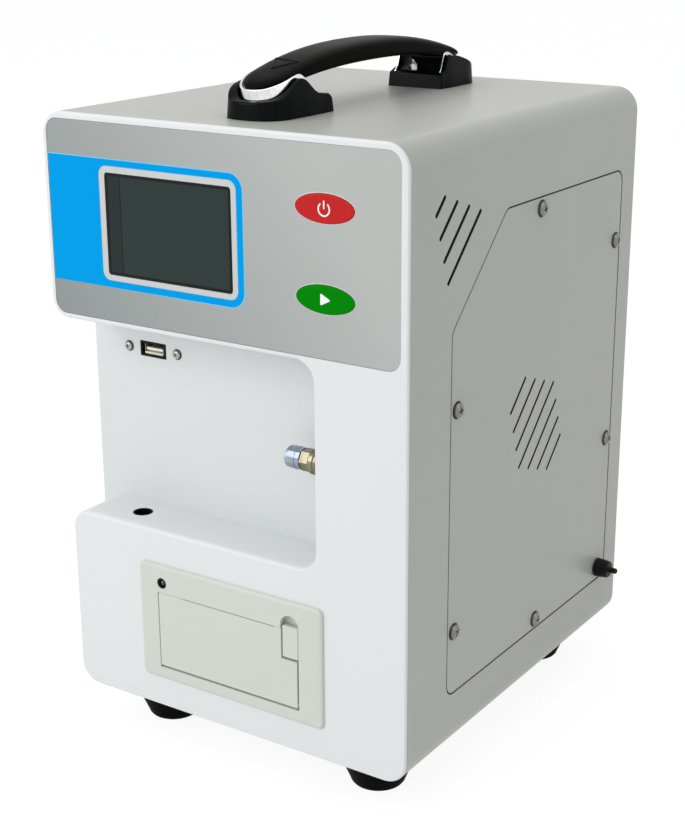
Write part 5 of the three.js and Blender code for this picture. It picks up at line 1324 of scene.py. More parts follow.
@dataclass
class Case(SubAssembly):
    """The painted wrap of sheet, the service panel with its screws, and the gas outlet."""

    width: float = 190.0
    depth: float = 210.4
    height: float = 276.4
    wall: float = 1.5
    corner: float = 11.0
    panel: Box = (34.5, 196.5, 27.8, 238.9)
    chamfer: Point2 = (45.3, 44.4)
    panel_corner: float = 6.0
    panel_gap: float = 0.4
    vents: SlotRow = SlotRow((23.6, 248.7), 9.28, 5.5, 4.5, 2.0, range(4))
    panel_vents: SlotRow = SlotRow((113.5, 133.0), 8.9, 23.5, -4.5, 1.6, range(-3, 4))
    flange_depths: Point2 = (186.7, 188.1)
    rear_flange_depths: Point2 = (206.5, 208.0)
    screw: Screw = Screw(3.4, 2.0, Axis.X, 1, Look.SCREW, 4.0)
    screws: Line = (
        (111.8, 233.7), (191.3, 205.3), (191.3, 104.0), (118.3, 33.0), (39.7, 58.2), (39.7, 160.2))
    outlet: Point2 = (187.0, 35.0)
    outlet_seat: float = 190.3
    outlet_profile: Line = (
        (0.6, -12.3), (3.0, -12.3), (3.0, 0), (4.2, 0), (4.8, 0.5), (4.6, 4), (4.3, 6.8), (3.7, 7.4),
        (1.9, 7.5), (1.45, 7.9), (1.45, 10.7), (1.2, 11.2), (0.95, 11.4), (0.6, 11.4))
    slot: str = "case_paint"

    def wrap_outline(self, drawn_in: float) -> Outline:
        """The case's section, drawn in on every side."""
        radius = max(self.corner - drawn_in, self.wall)
        return rounded(drawn_in, self.width - drawn_in, drawn_in, self.height - drawn_in, radius)

    def panel_outline(self, grow: float) -> Outline:
        """Draws the service panel.

        Args:
            grow: how far it is grown on every side.

        Returns:
            The outline.
        """
        front, rear, low, high = self.panel
        along, up = self.chamfer
        slant = grow * (1 - math.tan(math.pi / 8))
        front, rear, low, high = front - grow, rear + grow, low - grow, high + grow
        corners = ((front, low), (rear, low), (rear, high), (front + along + slant, high),
                   (front, high - up - slant))
        return filleted([(x, y, max(self.panel_corner + grow, 1.5)) for x, y in corners], 8)

    def build(self) -> None:
        """Builds and dresses the case, the panel and what is fixed to them."""
        edges = [Edge(self.wrap_outline(0), Rim(0.25, 0.25), Rim(0.3, 0.3)), self.wrap_outline(self.wall)]
        wrap = Form().front(edges, self.wall, self.depth, 2).object("case_wrap")
        slots = self.vents.slots()
        holes = [self.panel_outline(self.panel_gap), *[slanted_slot(*slot) for slot in slots]]
        tools = [block("left_notch", (-3, -2, -3), (16, 29.3, 192.1))]
        tools += [Form().side([hole], self.width - 4, self.width + 4).object("hole_tool") for hole in holes]
        carve(wrap, tools)
        dress(wrap, Look.CASE, self.body, ["case_shell"])
        self.line_slots("vent_shade_linings", slots)
        # The flanges behind the panel and at the rear are painted darker than the case, as painted shade
        # inside it.
        flange = Form().side([self.panel_outline(6), self.panel_outline(-11)], *self.flange_depths)
        flange.front([self.wrap_outline(1.45), self.wrap_outline(13.5)], *self.rear_flange_depths)
        self.show(flange, "case_flanges", Look.SHADED_CASE_SHEET, self.slot)
        # A near-black ring behind the panel's gap: painted shadow in the gap.
        self.panel_ring("panel_gap_shadow", Look.SHADE_BLACK, "moulded_black", 0.5, -0.4, (2.0, 1.1))
        self.build_panel()
        outlet = Form().turned(Axis.X, moved(self.outlet_profile, self.outlet_seat), (0, *self.outlet), 40)
        self.show(outlet, "outlet_fitting", Look.BLACK, "moulded_black", "gas_outlet")

    def panel_ring(self, name: str, look: Look, slot: str, outer: float, inner: float, under: Point2) -> None:
        """Builds a ring between two growths of the panel's edge, its faces so far under the case's side."""
        edges = [self.panel_outline(outer), self.panel_outline(inner)]
        self.show(Form().side(edges, *[self.width - depth for depth in under]), name, look, slot)

    def line_slots(self, name: str, slots: Sequence[Box]) -> None:
        """Lines cut slots with painted shade, and closes them with a darker plate behind, painted shade too.

        Args:
            name: the object's name.
            slots: place, half length and width of each slot.
        """
        lining, inside = Form(), self.width - self.wall
        for y, z, half, width in slots:
            skin = [slanted_slot(y, z, half + grow, width + 2 * grow) for grow in (0.05, -0.1)]
            lining.side(skin, inside - 0.3, self.width - 0.12)
            # The plate behind each slot is painted shade, in place of the dark inside the case.
            lining.side([slanted_slot(y, z, half + 0.3, width + 0.6)], inside - 0.7, inside - 0.2)
        self.show(lining, name, Look.SLOT, "moulded_black")

    def build_panel(self) -> None:
        """Builds the service panel with its vents, a ring of painted shadow in the seam round it, and its
        screws.
        """
        slots = self.panel_vents.slots()
        edges = [Edge(self.panel_outline(-0.3), high=Rim(0.5, 0.4))]
        edges += [Edge(slanted_slot(*slot), high=Rim(0.15, 0.15)) for slot in slots]
        sheet = Form().side(edges, self.width - self.wall, self.width)
        self.show(sheet, "service_panel", Look.CASE, self.slot, "access_panel")
        # A dark ring just under the case's side: painted shadow in the seam round the panel.
        self.panel_ring("panel_seam_shade", Look.SLOT, self.slot, 0.05, -0.42, (0.9, 0.18))
        self.line_slots("panel_vent_shade_linings", slots)
        for number, place in enumerate(self.screws):
            self.screw.build(f"panel_screw_{number + 1}", (self.width + 0.1, *place), 17 + 53 * number,
                             f"access_screw_{number + 1}")


@dataclass
class Printer(SubAssembly):
    """The panel printer: bezel, door, latch, lamp and what its bay holds.

    Pivots and rolls are y and z of their axes; profiles give radius and place along an axis.
    """

    box: Box = (45.8, 148.3, 15.5, 73.4)
    proud: float = 1.6
    corner: float = 3.0
    bezel_rims: tuple[Rim, Rim] = (Rim(1.8, 1.1), Rim(0.2, 0.2))
    door: Box = (56.5, 135.4, 21.5, 59.7)
    door_gaps: Box = (0.16, -0.6, 0.9, -0.14)
    door_pivot: Point2 = (0.2, 23.8)
    rib_shares: Point3 = (0.3, 0.5, 0.7)
    thick: float = 3.0
    latch: Point3 = (126.7, 46.1, 61.3)
    latch_pivot: Point2 = (0.9, 47.4)
    latch_hook: Line = ((0.5, 51.2), (4.3, 51.2), (4.3, 52.6), (0.5, 53.7))
    arch_top: float = 66.5
    slot_span: Point2 = (70.5, 122.7)
    lamp: Point2 = (59.0, 64.4)
    lamp_front: float = -1.1
    lens_profile: Line = ((0, 0), (0.8, 0.1), (1.3, 0.5), (1.5, 1.1), (1.5, 6), (0, 6))
    lamp_ring: Line = ((1.55, 0.5), (1.75, -0.15), (2.4, -0.3), (2.55, 0.2), (2.55, 4), (1.55, 4))
    middle: float = 96.6
    platen: Point2 = (8.5, 52.2)
    platen_profile: Line = (
        (0, -28.5), (1.5, -28.5), (1.5, -25), (4, -25), (4, 25), (1.5, 25), (1.5, 28.5), (0, 28.5))
    roll: Point2 = (29.0, 36.45)
    roll_half: float = 25.0
    slot: str = "printer_beige"

    def neck_cutter(self) -> Object:
        """The hole that the printer takes in the front."""
        return Form().front([grown(self.box, -2.5, self.corner)], -3, 8).object("printer_cutter")

    def doorway(self) -> Outline:
        """Draws the doorway with the arched finger recess over the latch.

        Returns:
            The outline.
        """
        left, right, low, high = self.door
        edge = self.latch[0] - 0.4
        middle, radius = (self.latch[0] + right) / 2, (right - edge) / 2 + 0.2
        crown = arc((middle, self.arch_top - radius), radius, 0, math.pi, 16)
        return [(left, low), (right + 0.4, low), *crown, (edge - 0.2, high), (left, high)]

    def build(self) -> None:
        """Builds and dresses the printer."""
        doorway, lamp_hole = self.doorway(), oval(*self.lamp, 2.6, 2.6, 32)
        edges = [Edge(grown(self.box, 0, self.corner), *self.bezel_rims), Edge(doorway, Rim(0.25, 0.25)),
                 Edge(lamp_hole, Rim(0.35, 0.35))]
        bezel = Form().front(edges, -self.proud, 0)
        neck, right = grown(self.box, -3, self.corner), self.door[1]
        left, low, high = self.latch
        for edges, start, end in (
                ([neck, doorway, lamp_hole], 0, 5),
                ([rounded(left - 0.8, right + 2, low - 0.4, self.arch_top + 1.5, 1)], 5, 7),
                ([neck, grown(self.box, -5, 2)], 5, 12),
                ([rounded(left - 1, right + 1, high - 1.6, self.arch_top + 1, 0.8)], 1.9, 2.7)):
            bezel.front(edges, start, end)
        self.show(bezel, "printer_bezel", Look.PRINTER, self.slot, "printer_frame")
        self.build_door()
        self.build_latch()
        centre = (self.lamp[0], 0, self.lamp[1])
        lens = Form().turned(Axis.Y, moved(self.lens_profile, self.lamp_front), centre, 32)
        self.show(lens, "printer_lamp_lens", Look.LAMP, "lamp_lens", "printer_lamp")
        ring = Form().turned(Axis.Y, moved(self.lamp_ring, self.lamp_front), centre, 40)
        self.show(ring, "printer_lamp_ring", Look.BLACK, "moulded_black")
        dress_solids({"printer_housing": Look.BLACK, "print_head": Look.BLACK})
        self.build_rolls()

    def build_door(self) -> None:
        """Builds the paper door with its slot, its ears and its ribs."""
        left, right, low, high = (edge + gap for edge, gap in zip(self.door, self.door_gaps))
        front, first, last = -self.proud + 0.3, *self.slot_span
        back, root = front + self.thick, front + self.thick - 0.4
        notch, sill, dip = self.latch[0] - 0.4, self.latch[1] - 1.2, high - 0.3
        outline = filleted([
            (left, low, 0.5), (right, low, 0.5), (right, sill, 0.4), (notch, sill, 0.4), (notch, high, 0.4),
            (last, high, 0.1), (last, dip, 0.1), (first, dip, 0.1), (first, high, 0.1), (left, high, 0.5)], 4)
        door = Form().front([Edge(outline, Rim(0.25, 0.25), Rim(0.2, 0.2))], front, back)
        ear = filleted([(root, 44.5, 0), (11.7, 49, 1.6), (11.7, 55.4, 1.6), (root, 55.4, 0)], 5)
        for x in (first - 2, last):
            door.side([ear, oval(*self.platen, 1.8, 1.8, 24)], x, x + 2)
        door.rod(Axis.X, 0.8, left - 2.2, right + 2.6, (0, *self.door_pivot), 20)
        rib = [(root, 30.3), (back + 1.6, 31.5), (back + 1.6, 48), (root, 49)]
        for share in self.rib_shares:
            x = left + (right - left) * share
            door.side([rib], x - 0.4, x + 0.4)
        self.show(door, "paper_door", Look.PRINTER, self.slot, "printer_door", "printer_door")

    def build_latch(self) -> None:
        """Builds the latch tab with its barrel, its pin and its hook."""
        (left, low, high), right, front = self.latch, self.door[1], -self.proud + 0.3
        tab = Edge(rounded(left + 0.4, right, low, high, 0.5), Rim(0.3, 0.3), Rim(0.2, 0.2))
        latch = Form().front([tab], front, front + 2.2)
        latch.rod(Axis.X, 1.25, left + 0.5, right - 0.1, (0, *self.latch_pivot), 24)
        latch.rod(Axis.X, 0.8, right - 1, right + 2.2, (0, *self.latch_pivot), 16)
        latch.side([list(self.latch_hook)], left + 2.9, right - 2.9)
        self.show(latch, "latch_tab", Look.PRINTER, self.slot, "printer_latch", "printer_latch")

    def build_rolls(self) -> None:
        """Builds the rubber roller and the paper roll with its wound edge."""
        platen = Form().turned(Axis.X, moved(self.platen_profile, self.middle), (0, *self.platen), 48)
        self.show(platen, "platen_roll", Look.RUBBER, "roller_rubber", "platen_roller", "platen")
        start, end = self.middle - self.roll_half, self.middle + self.roll_half
        wound = [(5.0, start)]
        for i in range(24):
            radius, edge = 5.2 + i * 0.34, start + 0.05 * (i % 2)
            wound += [(radius, edge), (radius + 0.3, edge)]
        wound += [(13.0, start + 0.1), (13.0, end - 0.1), (12.9, end), (5.0, end)]
        paper = Form().turned(Axis.X, wound, (0, *self.roll))
        self.show(paper, "paper_supply", Look.PAPER, "roll_paper", "paper_roll", "paper_roll")


@dataclass
class Feet(SubAssembly):
    """The four rubber feet. Their profile is given from the sole up, and from the top down."""

    places: dict[str, Point2] = field(default_factory=lambda: {
        "front_left": (37.4, 29.8), "front_right": (157.4, 29.8), "rear_left": (37.4, 184.2),
        "rear_right": (157.4, 184.2)})
    height: float = 21.0
    gap: float = 0.1
    round_sole: float = 3.5
    sole: Line = (
        (0.0, 6.0), (2.2, 6.0), (2.2, 4.6), (4.6, 4.6), (4.6, 6.0), (6.0, 6.0), (6.0, 0.0), (9.5, 0.0))
    top: Line = (
        (18.4, -5.4), (19.5, -2.2), (19.9, -0.8), (20.0, -0.3), (20.0, 0.0), (0.0, 0.0))

    def build(self) -> None:
        """Builds and dresses the feet."""
        low, size = -self.height - self.gap, self.round_sole
        curve = [(self.sole[-1][0] + size * math.sin(angle), low + size - size * math.cos(angle))
                 for angle in (0.35, 0.7, 1.05, 1.4)]
        profile = moved(self.sole, low) + curve + moved(self.top, -self.gap)
        for name, (x, y) in self.places.items():
            foot = Form().turned(Axis.Z, profile, (x, y, 0), 72)
            self.show(foot, f"rubber_foot_{name}", Look.RUBBER, "foot_rubber", f"foot_{name}")


@dataclass(frozen=True)
class HandleEnd:
    """One end of the handle. Its places are measured outwards from the handle's middle.

    The fall is how far the grip's top and its underside come down there, and how suddenly. The top
    lines give a share of the way from one end of the block or bowl to the other, and a height.
    """

    name: str
    side: int
    half: float
    fall: Point3
    block: Point2
    block_top: Line
    left_top: Line
    collar: Point2
    collar_top: Line


def hundredths(*pairs: Point2) -> Line:
    """A line given in hundredths."""
    return tuple((place / 100, value / 100) for place, value in pairs)


FRONT_END = HandleEnd(
    "front", -1, 85.2, (12.8, 7.5, 2.4), (90.0, 46.6),
    hundredths((0, 45), (2, 49), (8, 51), (15, 55), (22, 63), (28, 74), (35, 87), (44, 102), (50, 103),
               (57, 95), (65, 78), (72, 64), (79, 56.5), (87, 53), (95, 49), (100, 36)),
    hundredths((0, 45), (4, 48), (8, 53), (12, 62), (16, 70), (20, 76), (24, 81), (30, 86), (36, 90),
               (44, 93), (52, 93), (60, 86), (68, 72), (76, 60), (85, 54), (95, 49), (100, 36)),
    (88.8, 47.1),
    hundredths((0, 77), (10, 80), (20, 89), (33, 101), (45, 111), (52, 113), (60, 102), (70, 80), (80, 60),
               (100, 57)))
REAR_END = HandleEnd(
    "rear", 1, 78.4, (12.6, 8.0, 2.15), (84.1, 46.2),
    hundredths((0, 47), (8, 52), (17, 60), (27, 70), (39, 80), (49, 87), (57, 92), (74, 97), (79, 100),
               (83, 93), (87, 75), (91, 55), (100, 43)),
    hundredths((0, 47), (8, 52), (17, 60), (27, 70), (39, 80), (54, 86), (62, 84), (69, 75), (74, 66.5),
               (85, 56.5), (95, 47), (100, 42)),
    (79.5, 47.4),
    hundredths((0, 50), (26, 62), (43, 80), (56, 92), (64, 100), (74, 107), (84, 104), (89, 90), (94, 62),
               (100, 45)))


@dataclass
class Handle(SubAssembly):
    """The carrying handle: two end blocks, two bright bowls and the arched grip between them.

    A power says how square a curve is. The feet list margin, reach from the nose and lift of each
    ring, and the grip's steps are those of a nose, of the run between the noses and of a section.
    """

    x: float = 98.4
    middle: float = 108.4
    base: float = 276.5
    block_width: float = 29.6
    block_power: float = 2.5
    flare: float = 0.7
    hump: float = 15.5
    end_wall: float = 3.0
    pocket_floor: float = 4.4
    pocket_margin: float = 1.9
    grip_width: float = 24.6
    grip_end_width: float = 21.0
    grip_thick: float = 9.3
    crest: float = 27.2
    nose: float = 14.5
    nose_power: float = 8.0
    crown_power: float = 3.3
    belly_power: float = 3.8
    waist: float = 0.42
    lip: float = 0.8
    lip_run: float = 8.0
    collar_gap: float = 0.15
    collar_wall: float = 1.0
    feet: tuple[Point3, ...] = ((-6.5, 14.5, 1.2), (-5.5, 15.5, 1.2), (-3.6, 18.0, 5.0), (-2.4, 22.0, 9.0))
    mark: Line = ((97.4, 39.4), (104.1, 48.9), (90.4, 52.0))
    grip_steps: tuple[int, int, int] = (16, 64, 64)
    smooth: float = 42.0

    def height(self, knots: Points, reach: Point2, out: float) -> float:
        """How high a top line stands at a place between the two ends of its reach."""
        share = min(1.0, max(0.0, (reach[0] - out) / (reach[0] - reach[1])))
        return self.base + self.hump * spline_value(knots, share)

    def levels(self, along: float) -> Point3:
        """Measures the grip.

        Args:
            along: the place from its middle, below zero towards the front.

        Returns:
            The height of its top, the height of its underside and its width.
        """
        end = FRONT_END if along < 0 else REAR_END
        share = min(1.0, abs(along) / end.half)
        drop, under_drop, power = end.fall
        crest = self.base - 0.1 + self.crest
        return (crest - drop * share ** power, crest - self.grip_thick - under_drop * share ** power,
                self.grip_width - (self.grip_width - self.grip_end_width) * share ** 2)

    def plan(self, end: HandleEnd, margin: float, angle: float) -> Point2:
        """How wide the grip is at an angle round a nose from its tip, and how far from the middle."""
        out = end.half + margin - self.nose * (1 - math.cos(angle))
        return math.sin(angle) * (self.levels(out * end.side)[2] / 2 + margin), out

    def stations(self, end: HandleEnd, margin: float, limit: float, steps: int = 18) -> Outline:
        """Follows one side of the grip's plan from the tip of a nose.

        Args:
            end: the end that the nose is at.
            margin: how far the plan is grown.
            limit: the place where it ends.
            steps: segments round the nose.

        Returns:
            Half width and place of each station.
        """
        found = [self.plan(end, margin, math.pi / 2 * i / steps) for i in range(steps + 1)]
        start, run = found[-1][1], 40
        outs = [start + (limit - start) * i / run for i in range(1, run + 1)]
        return found + [(self.levels(out * end.side)[2] / 2 + margin, out) for out in outs]

    def grip_point(self, place: float, end: HandleEnd | None, reach: Point2, angle: float) -> Vector:
        """Finds a point of the grip's skin.

        Args:
            place: the angle round a nose from its tip, or the place from the middle between the noses.
            end: the nose's end, or None between the noses.
            reach: the places where the noses begin.
            angle: the angle round the section.

        Returns:
            The point.
        """
        cosine, sine = math.cos(angle), math.sin(angle)
        power = self.crown_power if sine >= 0 else self.belly_power
        lip = self.lip if sine < 0.12 else 0.0
        if end:
            half, out = self.plan(end, -lip, place)
            along = out * end.side
            top, bottom, _ = self.levels(along)
            fill = math.sqrt(max(0.0, 1 - math.cos(place) ** self.nose_power))
        else:
            near = max(0.0, 1 - min(place - reach[0], reach[1] - place) / self.lip_run)
            top, bottom, width = self.levels(place)
            half, along, fill = width / 2 - lip * near, place, 1.0
        waist = bottom + (top - bottom) * self.waist
        size = (top - waist if sine >= 0 else waist - bottom) * fill
        wide = math.copysign(abs(cosine) ** (2 / power), cosine)
        high = math.copysign(abs(sine) ** (2 / power), sine)
        return Vector((self.x + wide * half, self.middle + along, waist + high * size))

    def grip_form(self) -> Form:
        """Lofts the grip: a crowned top, straight sides and a lip under the top's edge at each nose.

        Returns:
            The grip's form.
        """
        first, last = reach = (self.nose - FRONT_END.half, REAR_END.half - self.nose)
        quarter, (steps, run, around) = math.pi / 2, self.grip_steps
        places = [(quarter * i / steps, FRONT_END) for i in range(1, steps + 1)]
        places += [(first + (last - first) * i / run, None) for i in range(1, run)]
        places += [(quarter * i / steps, REAR_END) for i in range(steps, 0, -1)]
        angles = [2 * math.pi * j / around for j in range(around)]
        rings = [[self.grip_point(place, end, reach, angle) for angle in angles] for place, end in places]
        return Form().rings(rings)

    def grip_top(self, x: float, y: float) -> Vector:
        """Finds the point of the grip's top over a place.

        Args:
            x: the place across.
            y: the place along.

        Returns:
            The point.
        """
        top, bottom, width = self.levels(y - self.middle)
        waist = bottom + (top - bottom) * self.waist
        share, power = min(1.0, abs(x - self.x) / (width / 2)), self.crown_power
        return Vector((x, y, waist + (top - waist) * (1 - share ** power) ** (1 / power)))

    def engraving(self, radius: float, lift: float = 0.0) -> Form:
        """Draws the plain triangle near the front of the grip's top, as a tube along its lines.

        Args:
            radius: the tube's radius.
            lift: how far it is lifted.

        Returns:
            The tube's form.
        """
        path = []
        for (x0, y0), (x1, y1) in zip(self.mark, self.mark[1:] + self.mark[:1]):
            tops = [self.grip_top(x0 + (x1 - x0) * i / 12, y0 + (y1 - y0) * i / 12) for i in range(12)]
            path += [top + Vector((0, 0, lift)) for top in tops]
        return Form().tube(path, radius, 8, closed=True)

    def wall_form(self, outlines: Sequence[Outline], low: float, top: Callable[[float, float], float],
                  rounding: float, flare: float, closed: bool) -> Form:
        """Builds a standing wall between two outlines, its top edge following a line.

        Args:
            outlines: the outer and the inner outline, of as many points.
            low: height of the wall's foot.
            top: height of its top at a place.
            rounding: radius of its top edges.
            flare: how much wider its foot stands outside.
            closed: whether the wall runs all the way round.

        Returns:
            The wall's form.
        """
        rings = []
        for (ox, oy), (ix, iy) in zip(*outlines):
            thick = math.hypot(ox - ix, oy - iy)
            size = min(rounding, thick / 2)
            section = [(-flare / thick, None)]
            section += [(size * (1 - math.cos(angle)) / thick, size * (1 - math.sin(angle)))
                        for angle in (0, 0.4, 0.8, 1.2, 1.57)]
            section += [(1 - share, drop) for share, drop in reversed(section[1:])]
            section.append((1.0, None))
            ring = []
            for share, drop in section:
                x, y = ox + (ix - ox) * share, oy + (iy - oy) * share
                ring.append(Vector((x, y, low if drop is None else top(x, y) - drop)))
            rings.append(ring)
        return Form().rings(rings, capped=not closed, closed=closed)

    def both_sides(self, end: HandleEnd, side: Points, tip_first: bool = False) -> Outline:
        """Turns one side's stations into an outline of both sides.

        Args:
            end: the end that they are at.
            side: half width and place of each station, from the tip of the nose.
            tip_first: whether the outline starts at the tip and goes round by the right side.

        Returns:
            The outline, otherwise from the left round the nose to the right.
        """
        right = [(self.x + wide, self.middle + end.side * out) for wide, out in side]
        left = [(self.x - wide, self.middle + end.side * out) for wide, out in reversed(side)]
        return right + left[:-1] if tip_first else left + right[1:]

    def block_form(self, end: HandleEnd) -> Form:
        """Builds an end block: a wall round a pocket, its nose round in plan, its inner end straight.

        Args:
            end: its end of the handle.

        Returns:
            The block's form.
        """
        nose, (start, stop) = self.block_width / 2, end.block
        bend, turns, run, across = 2 / self.block_power, 24, 40, 6
        outer = []
        for i in range(turns + 1):
            angle = math.pi / 2 * i / turns
            outer.append((nose * math.sin(angle) ** bend, start - nose * (1 - abs(math.cos(angle)) ** bend)))
        inner = self.stations(end, self.pocket_margin, stop + self.end_wall, turns)
        outer += [(nose, outer[-1][1] + (stop + 0.5 - outer[-1][1]) * i / run) for i in range(1, run + 1)]
        outer += [(nose - 0.15, stop + 0.15), (nose - 0.5, stop)]
        last = (inner[-1][0] - 0.4, inner[-1][1])
        inner += [inner[-1], last]
        shares = [1 - i / across for i in range(1, across)]
        outer += [((nose - 0.5) * share, stop) for share in shares]
        inner += [(last[0] * share, last[1]) for share in shares]

        def top(x: float, y: float) -> float:
            """The height of the wall's top, whose line differs between its two sides."""
            left = min(1.0, max(0.0, 1.2 * (self.x - x) / nose))
            out = (y - self.middle) * end.side
            lines = [self.height(knots, end.block, out) for knots in (end.left_top, end.block_top)]
            return lines[0] * left + lines[1] * (1 - left)

        outlines = [self.both_sides(end, half, tip_first=True) for half in (outer, inner)]
        form = self.wall_form(outlines, self.base, top, 0.6, self.flare, True)
        return form.plate(Plane.TOP, [middle_line(*outlines)], self.base, self.base + self.pocket_floor)

    def collar_form(self, end: HandleEnd) -> Form:
        """Builds a bright bowl that lines a block's pocket and stands above it round the grip's nose.

        Args:
            end: its end of the handle.

        Returns:
            The bowl's form.
        """
        def top(x: float, y: float) -> float:
            """The height of the bowl's edge."""
            return self.height(end.collar_top, end.collar, (y - self.middle) * end.side)

        outlines = [self.both_sides(end, self.stations(end, margin, end.collar[1]))
                    for margin in (self.collar_gap + self.collar_wall, self.collar_gap)]
        low = self.base + self.pocket_floor + 0.3
        form = self.wall_form(outlines, low, top, 0.4, 0.0, False)
        return form.plate(Plane.TOP, [middle_line(*outlines)], low, low + self.collar_wall)

    def foot_form(self, end: HandleEnd) -> Form:
        """Builds the black foot under a nose of the grip, by which it stands in its bowl; its black also
        fills the bowl as painted shade under the grip.

        Args:
            end: its end of the handle.

        Returns:
            The foot's form.
        """
        rings, floor = [], self.base + self.pocket_floor
        for margin, reach, lift in self.feet:
            outline = self.both_sides(end, self.stations(end, margin, end.half - reach))
            skin = [Vector((x, y, self.levels(y - self.middle)[1])) for x, y in outline]
            rings.append([Vector((x, y, min(floor + lift, under + 1))) for x, y, under in skin])
        rings.append([Vector((x, y, under + 2)) for x, y, under in skin])
        return Form().rings(rings)

    def build(self) -> None:
        """Builds and dresses the handle."""
        grip = self.grip_form().object("handle_bar", self.smooth)
        carve(grip, [self.engraving(0.5).object("engraving_tool")], self.smooth)
        for end in (FRONT_END, REAR_END):
            solid = f"handle_{end.name}"
            for form, name, look, slot, replaces in (
                    (self.block_form(end), "block", Look.BLOCK, "handle_gloss", f"{solid}_block"),
                    (self.collar_form(end), "bowl", Look.CHROME, "collar_chrome", f"{solid}_collar"),
                    # The foot is a real part of the grip, and its black also stands in for the shade inside
                    # the bowl.
                    (self.foot_form(end), "foot", Look.BLACK, "grip_satin", None)):
                self.show(form, f"handle_{name}_{end.name}", look, slot, replaces, angle=self.smooth)
        # A near-black tube laid in the engraved groove: painted shade in the groove.
        self.show(self.engraving(0.47, -0.02), "handle_mark_shade", Look.SHADE_BLACK, "grip_satin")
        dress(grip, Look.GRIP, self.body, ["handle_grip"])


@dataclass
class Back(SubAssembly):
    """The rear panel, the mains inlet and the fan with its guard."""

    plane: float = 209.8
    panel_screw: Screw = Screw(3.6, 2.0, Axis.Y, 1, Look.SCREW)
    corners: Line = ((9.8, 9.8), (180.2, 9.8), (180.2, 266.6), (9.8, 266.6))
    fan: Point2 = (66.0, 205.0)
    fan_screw: Screw = Screw(3.4, 2.0, Axis.Y, 1, Look.STEEL)
    screw_spread: float = 25.0
    wire: float = 0.9
    wire_rings: Point3 = (8.4, 17.0, 25.6)
    eye: Box = (1.8, 3.8, 0.1, 2.9)
    pins: Line = ((55.0, 50.8), (69.0, 50.8), (62.0, 55.3))
    pin_half: Point2 = (1.06, 2.06)
    pin_depths: Point2 = (195.4, 210.5)

    def build(self) -> None:
        """Builds and dresses the back."""
        dress_solids({
            "rear_panel": Look.CASE, "mains_inlet": Look.BLACK, "fuse_drawer": Look.BLACK,
            "fan_frame": Look.BLACK, "rocker_switch": Look.MOVING_BLACK, "fan_rotor": Look.MOVING_BLACK})
        for number, (x, z) in enumerate(self.corners):
            self.panel_screw.build(f"back_screw_{number + 1}", (x, self.plane + 0.1, z), 31 * number,
                                   f"rear_screw_{number + 1}")
        self.build_guard()
        pins = Form()
        for x, z in self.pins:
            pins.front([Edge(pad(x, z, *self.pin_half, 0.3), high=Rim(0.5, 0.8))], *self.pin_depths)
        self.show(pins, "inlet_pins", Look.STEEL, "bright_steel")

    def build_guard(self) -> None:
        """Builds the wire guard and its screws."""
        (x, z), spread = self.fan, self.screw_spread
        guard = Form()
        for radius in self.wire_rings:
            ring = [Vector((u, self.plane + 3, v)) for u, v in oval(x, z, radius, radius, 72)]
            guard.tube(ring, self.wire, closed=True)
        for side in (-1, 1):
            ends = [Vector((x + end * spread, self.plane + 2.1, z + end * side * spread)) for end in (-1, 1)]
            guard.tube(ends, self.wire)
        places = [(x + a * spread, z + b * spread) for a, b in CORNERS]
        inner, outer, start, end = self.eye
        for px, pz in places:
            eye = ring_profile(inner, outer, self.plane + start, self.plane + end)
            guard.turned(Axis.Y, eye, (px, 0, pz), 32)
        self.show(guard, "fan_wire_guard", Look.CHROME, "bright_steel", "fan_guard")
        for number, (px, pz) in enumerate(places):
            self.fan_screw.build(f"guard_screw_{number + 1}", (px, self.plane + 3.1, pz), 40 + 27 * number,
                                 f"fan_screw_{number + 1}")


def dress_inside() -> None:
    """Dresses the boards, the supply, the pump, the cell and the hose inside."""
    dress_solids({
        "display_module": Look.BOARD, "key_board": Look.BOARD, "main_board": Look.BOARD,
        "power_supply": Look.CAN, "gas_pump": Look.PUMP, "oxygen_sensor": Look.CELL,
        "sample_hose": Look.HOSE})


# Studio


@dataclass(frozen=True)
class Lamp:
    """One soft square lamp: its place and its aim in metres, its size and its power in watts."""

    name: str
    place: Point3
    aim: Point3
    size: float
    power: float

    def build(self) -> None:
        """Adds the lamp."""
        data = bpy.data.lights.new(self.name, "AREA")
        data.shape, data.size, data.energy = "SQUARE", self.size, self.power
        lamp = placed(self.name, data)
        lamp.location = self.place
        lamp.rotation_euler = (Vector(self.aim) - Vector(self.place)).to_track_quat("-Z", "Y").to_euler()


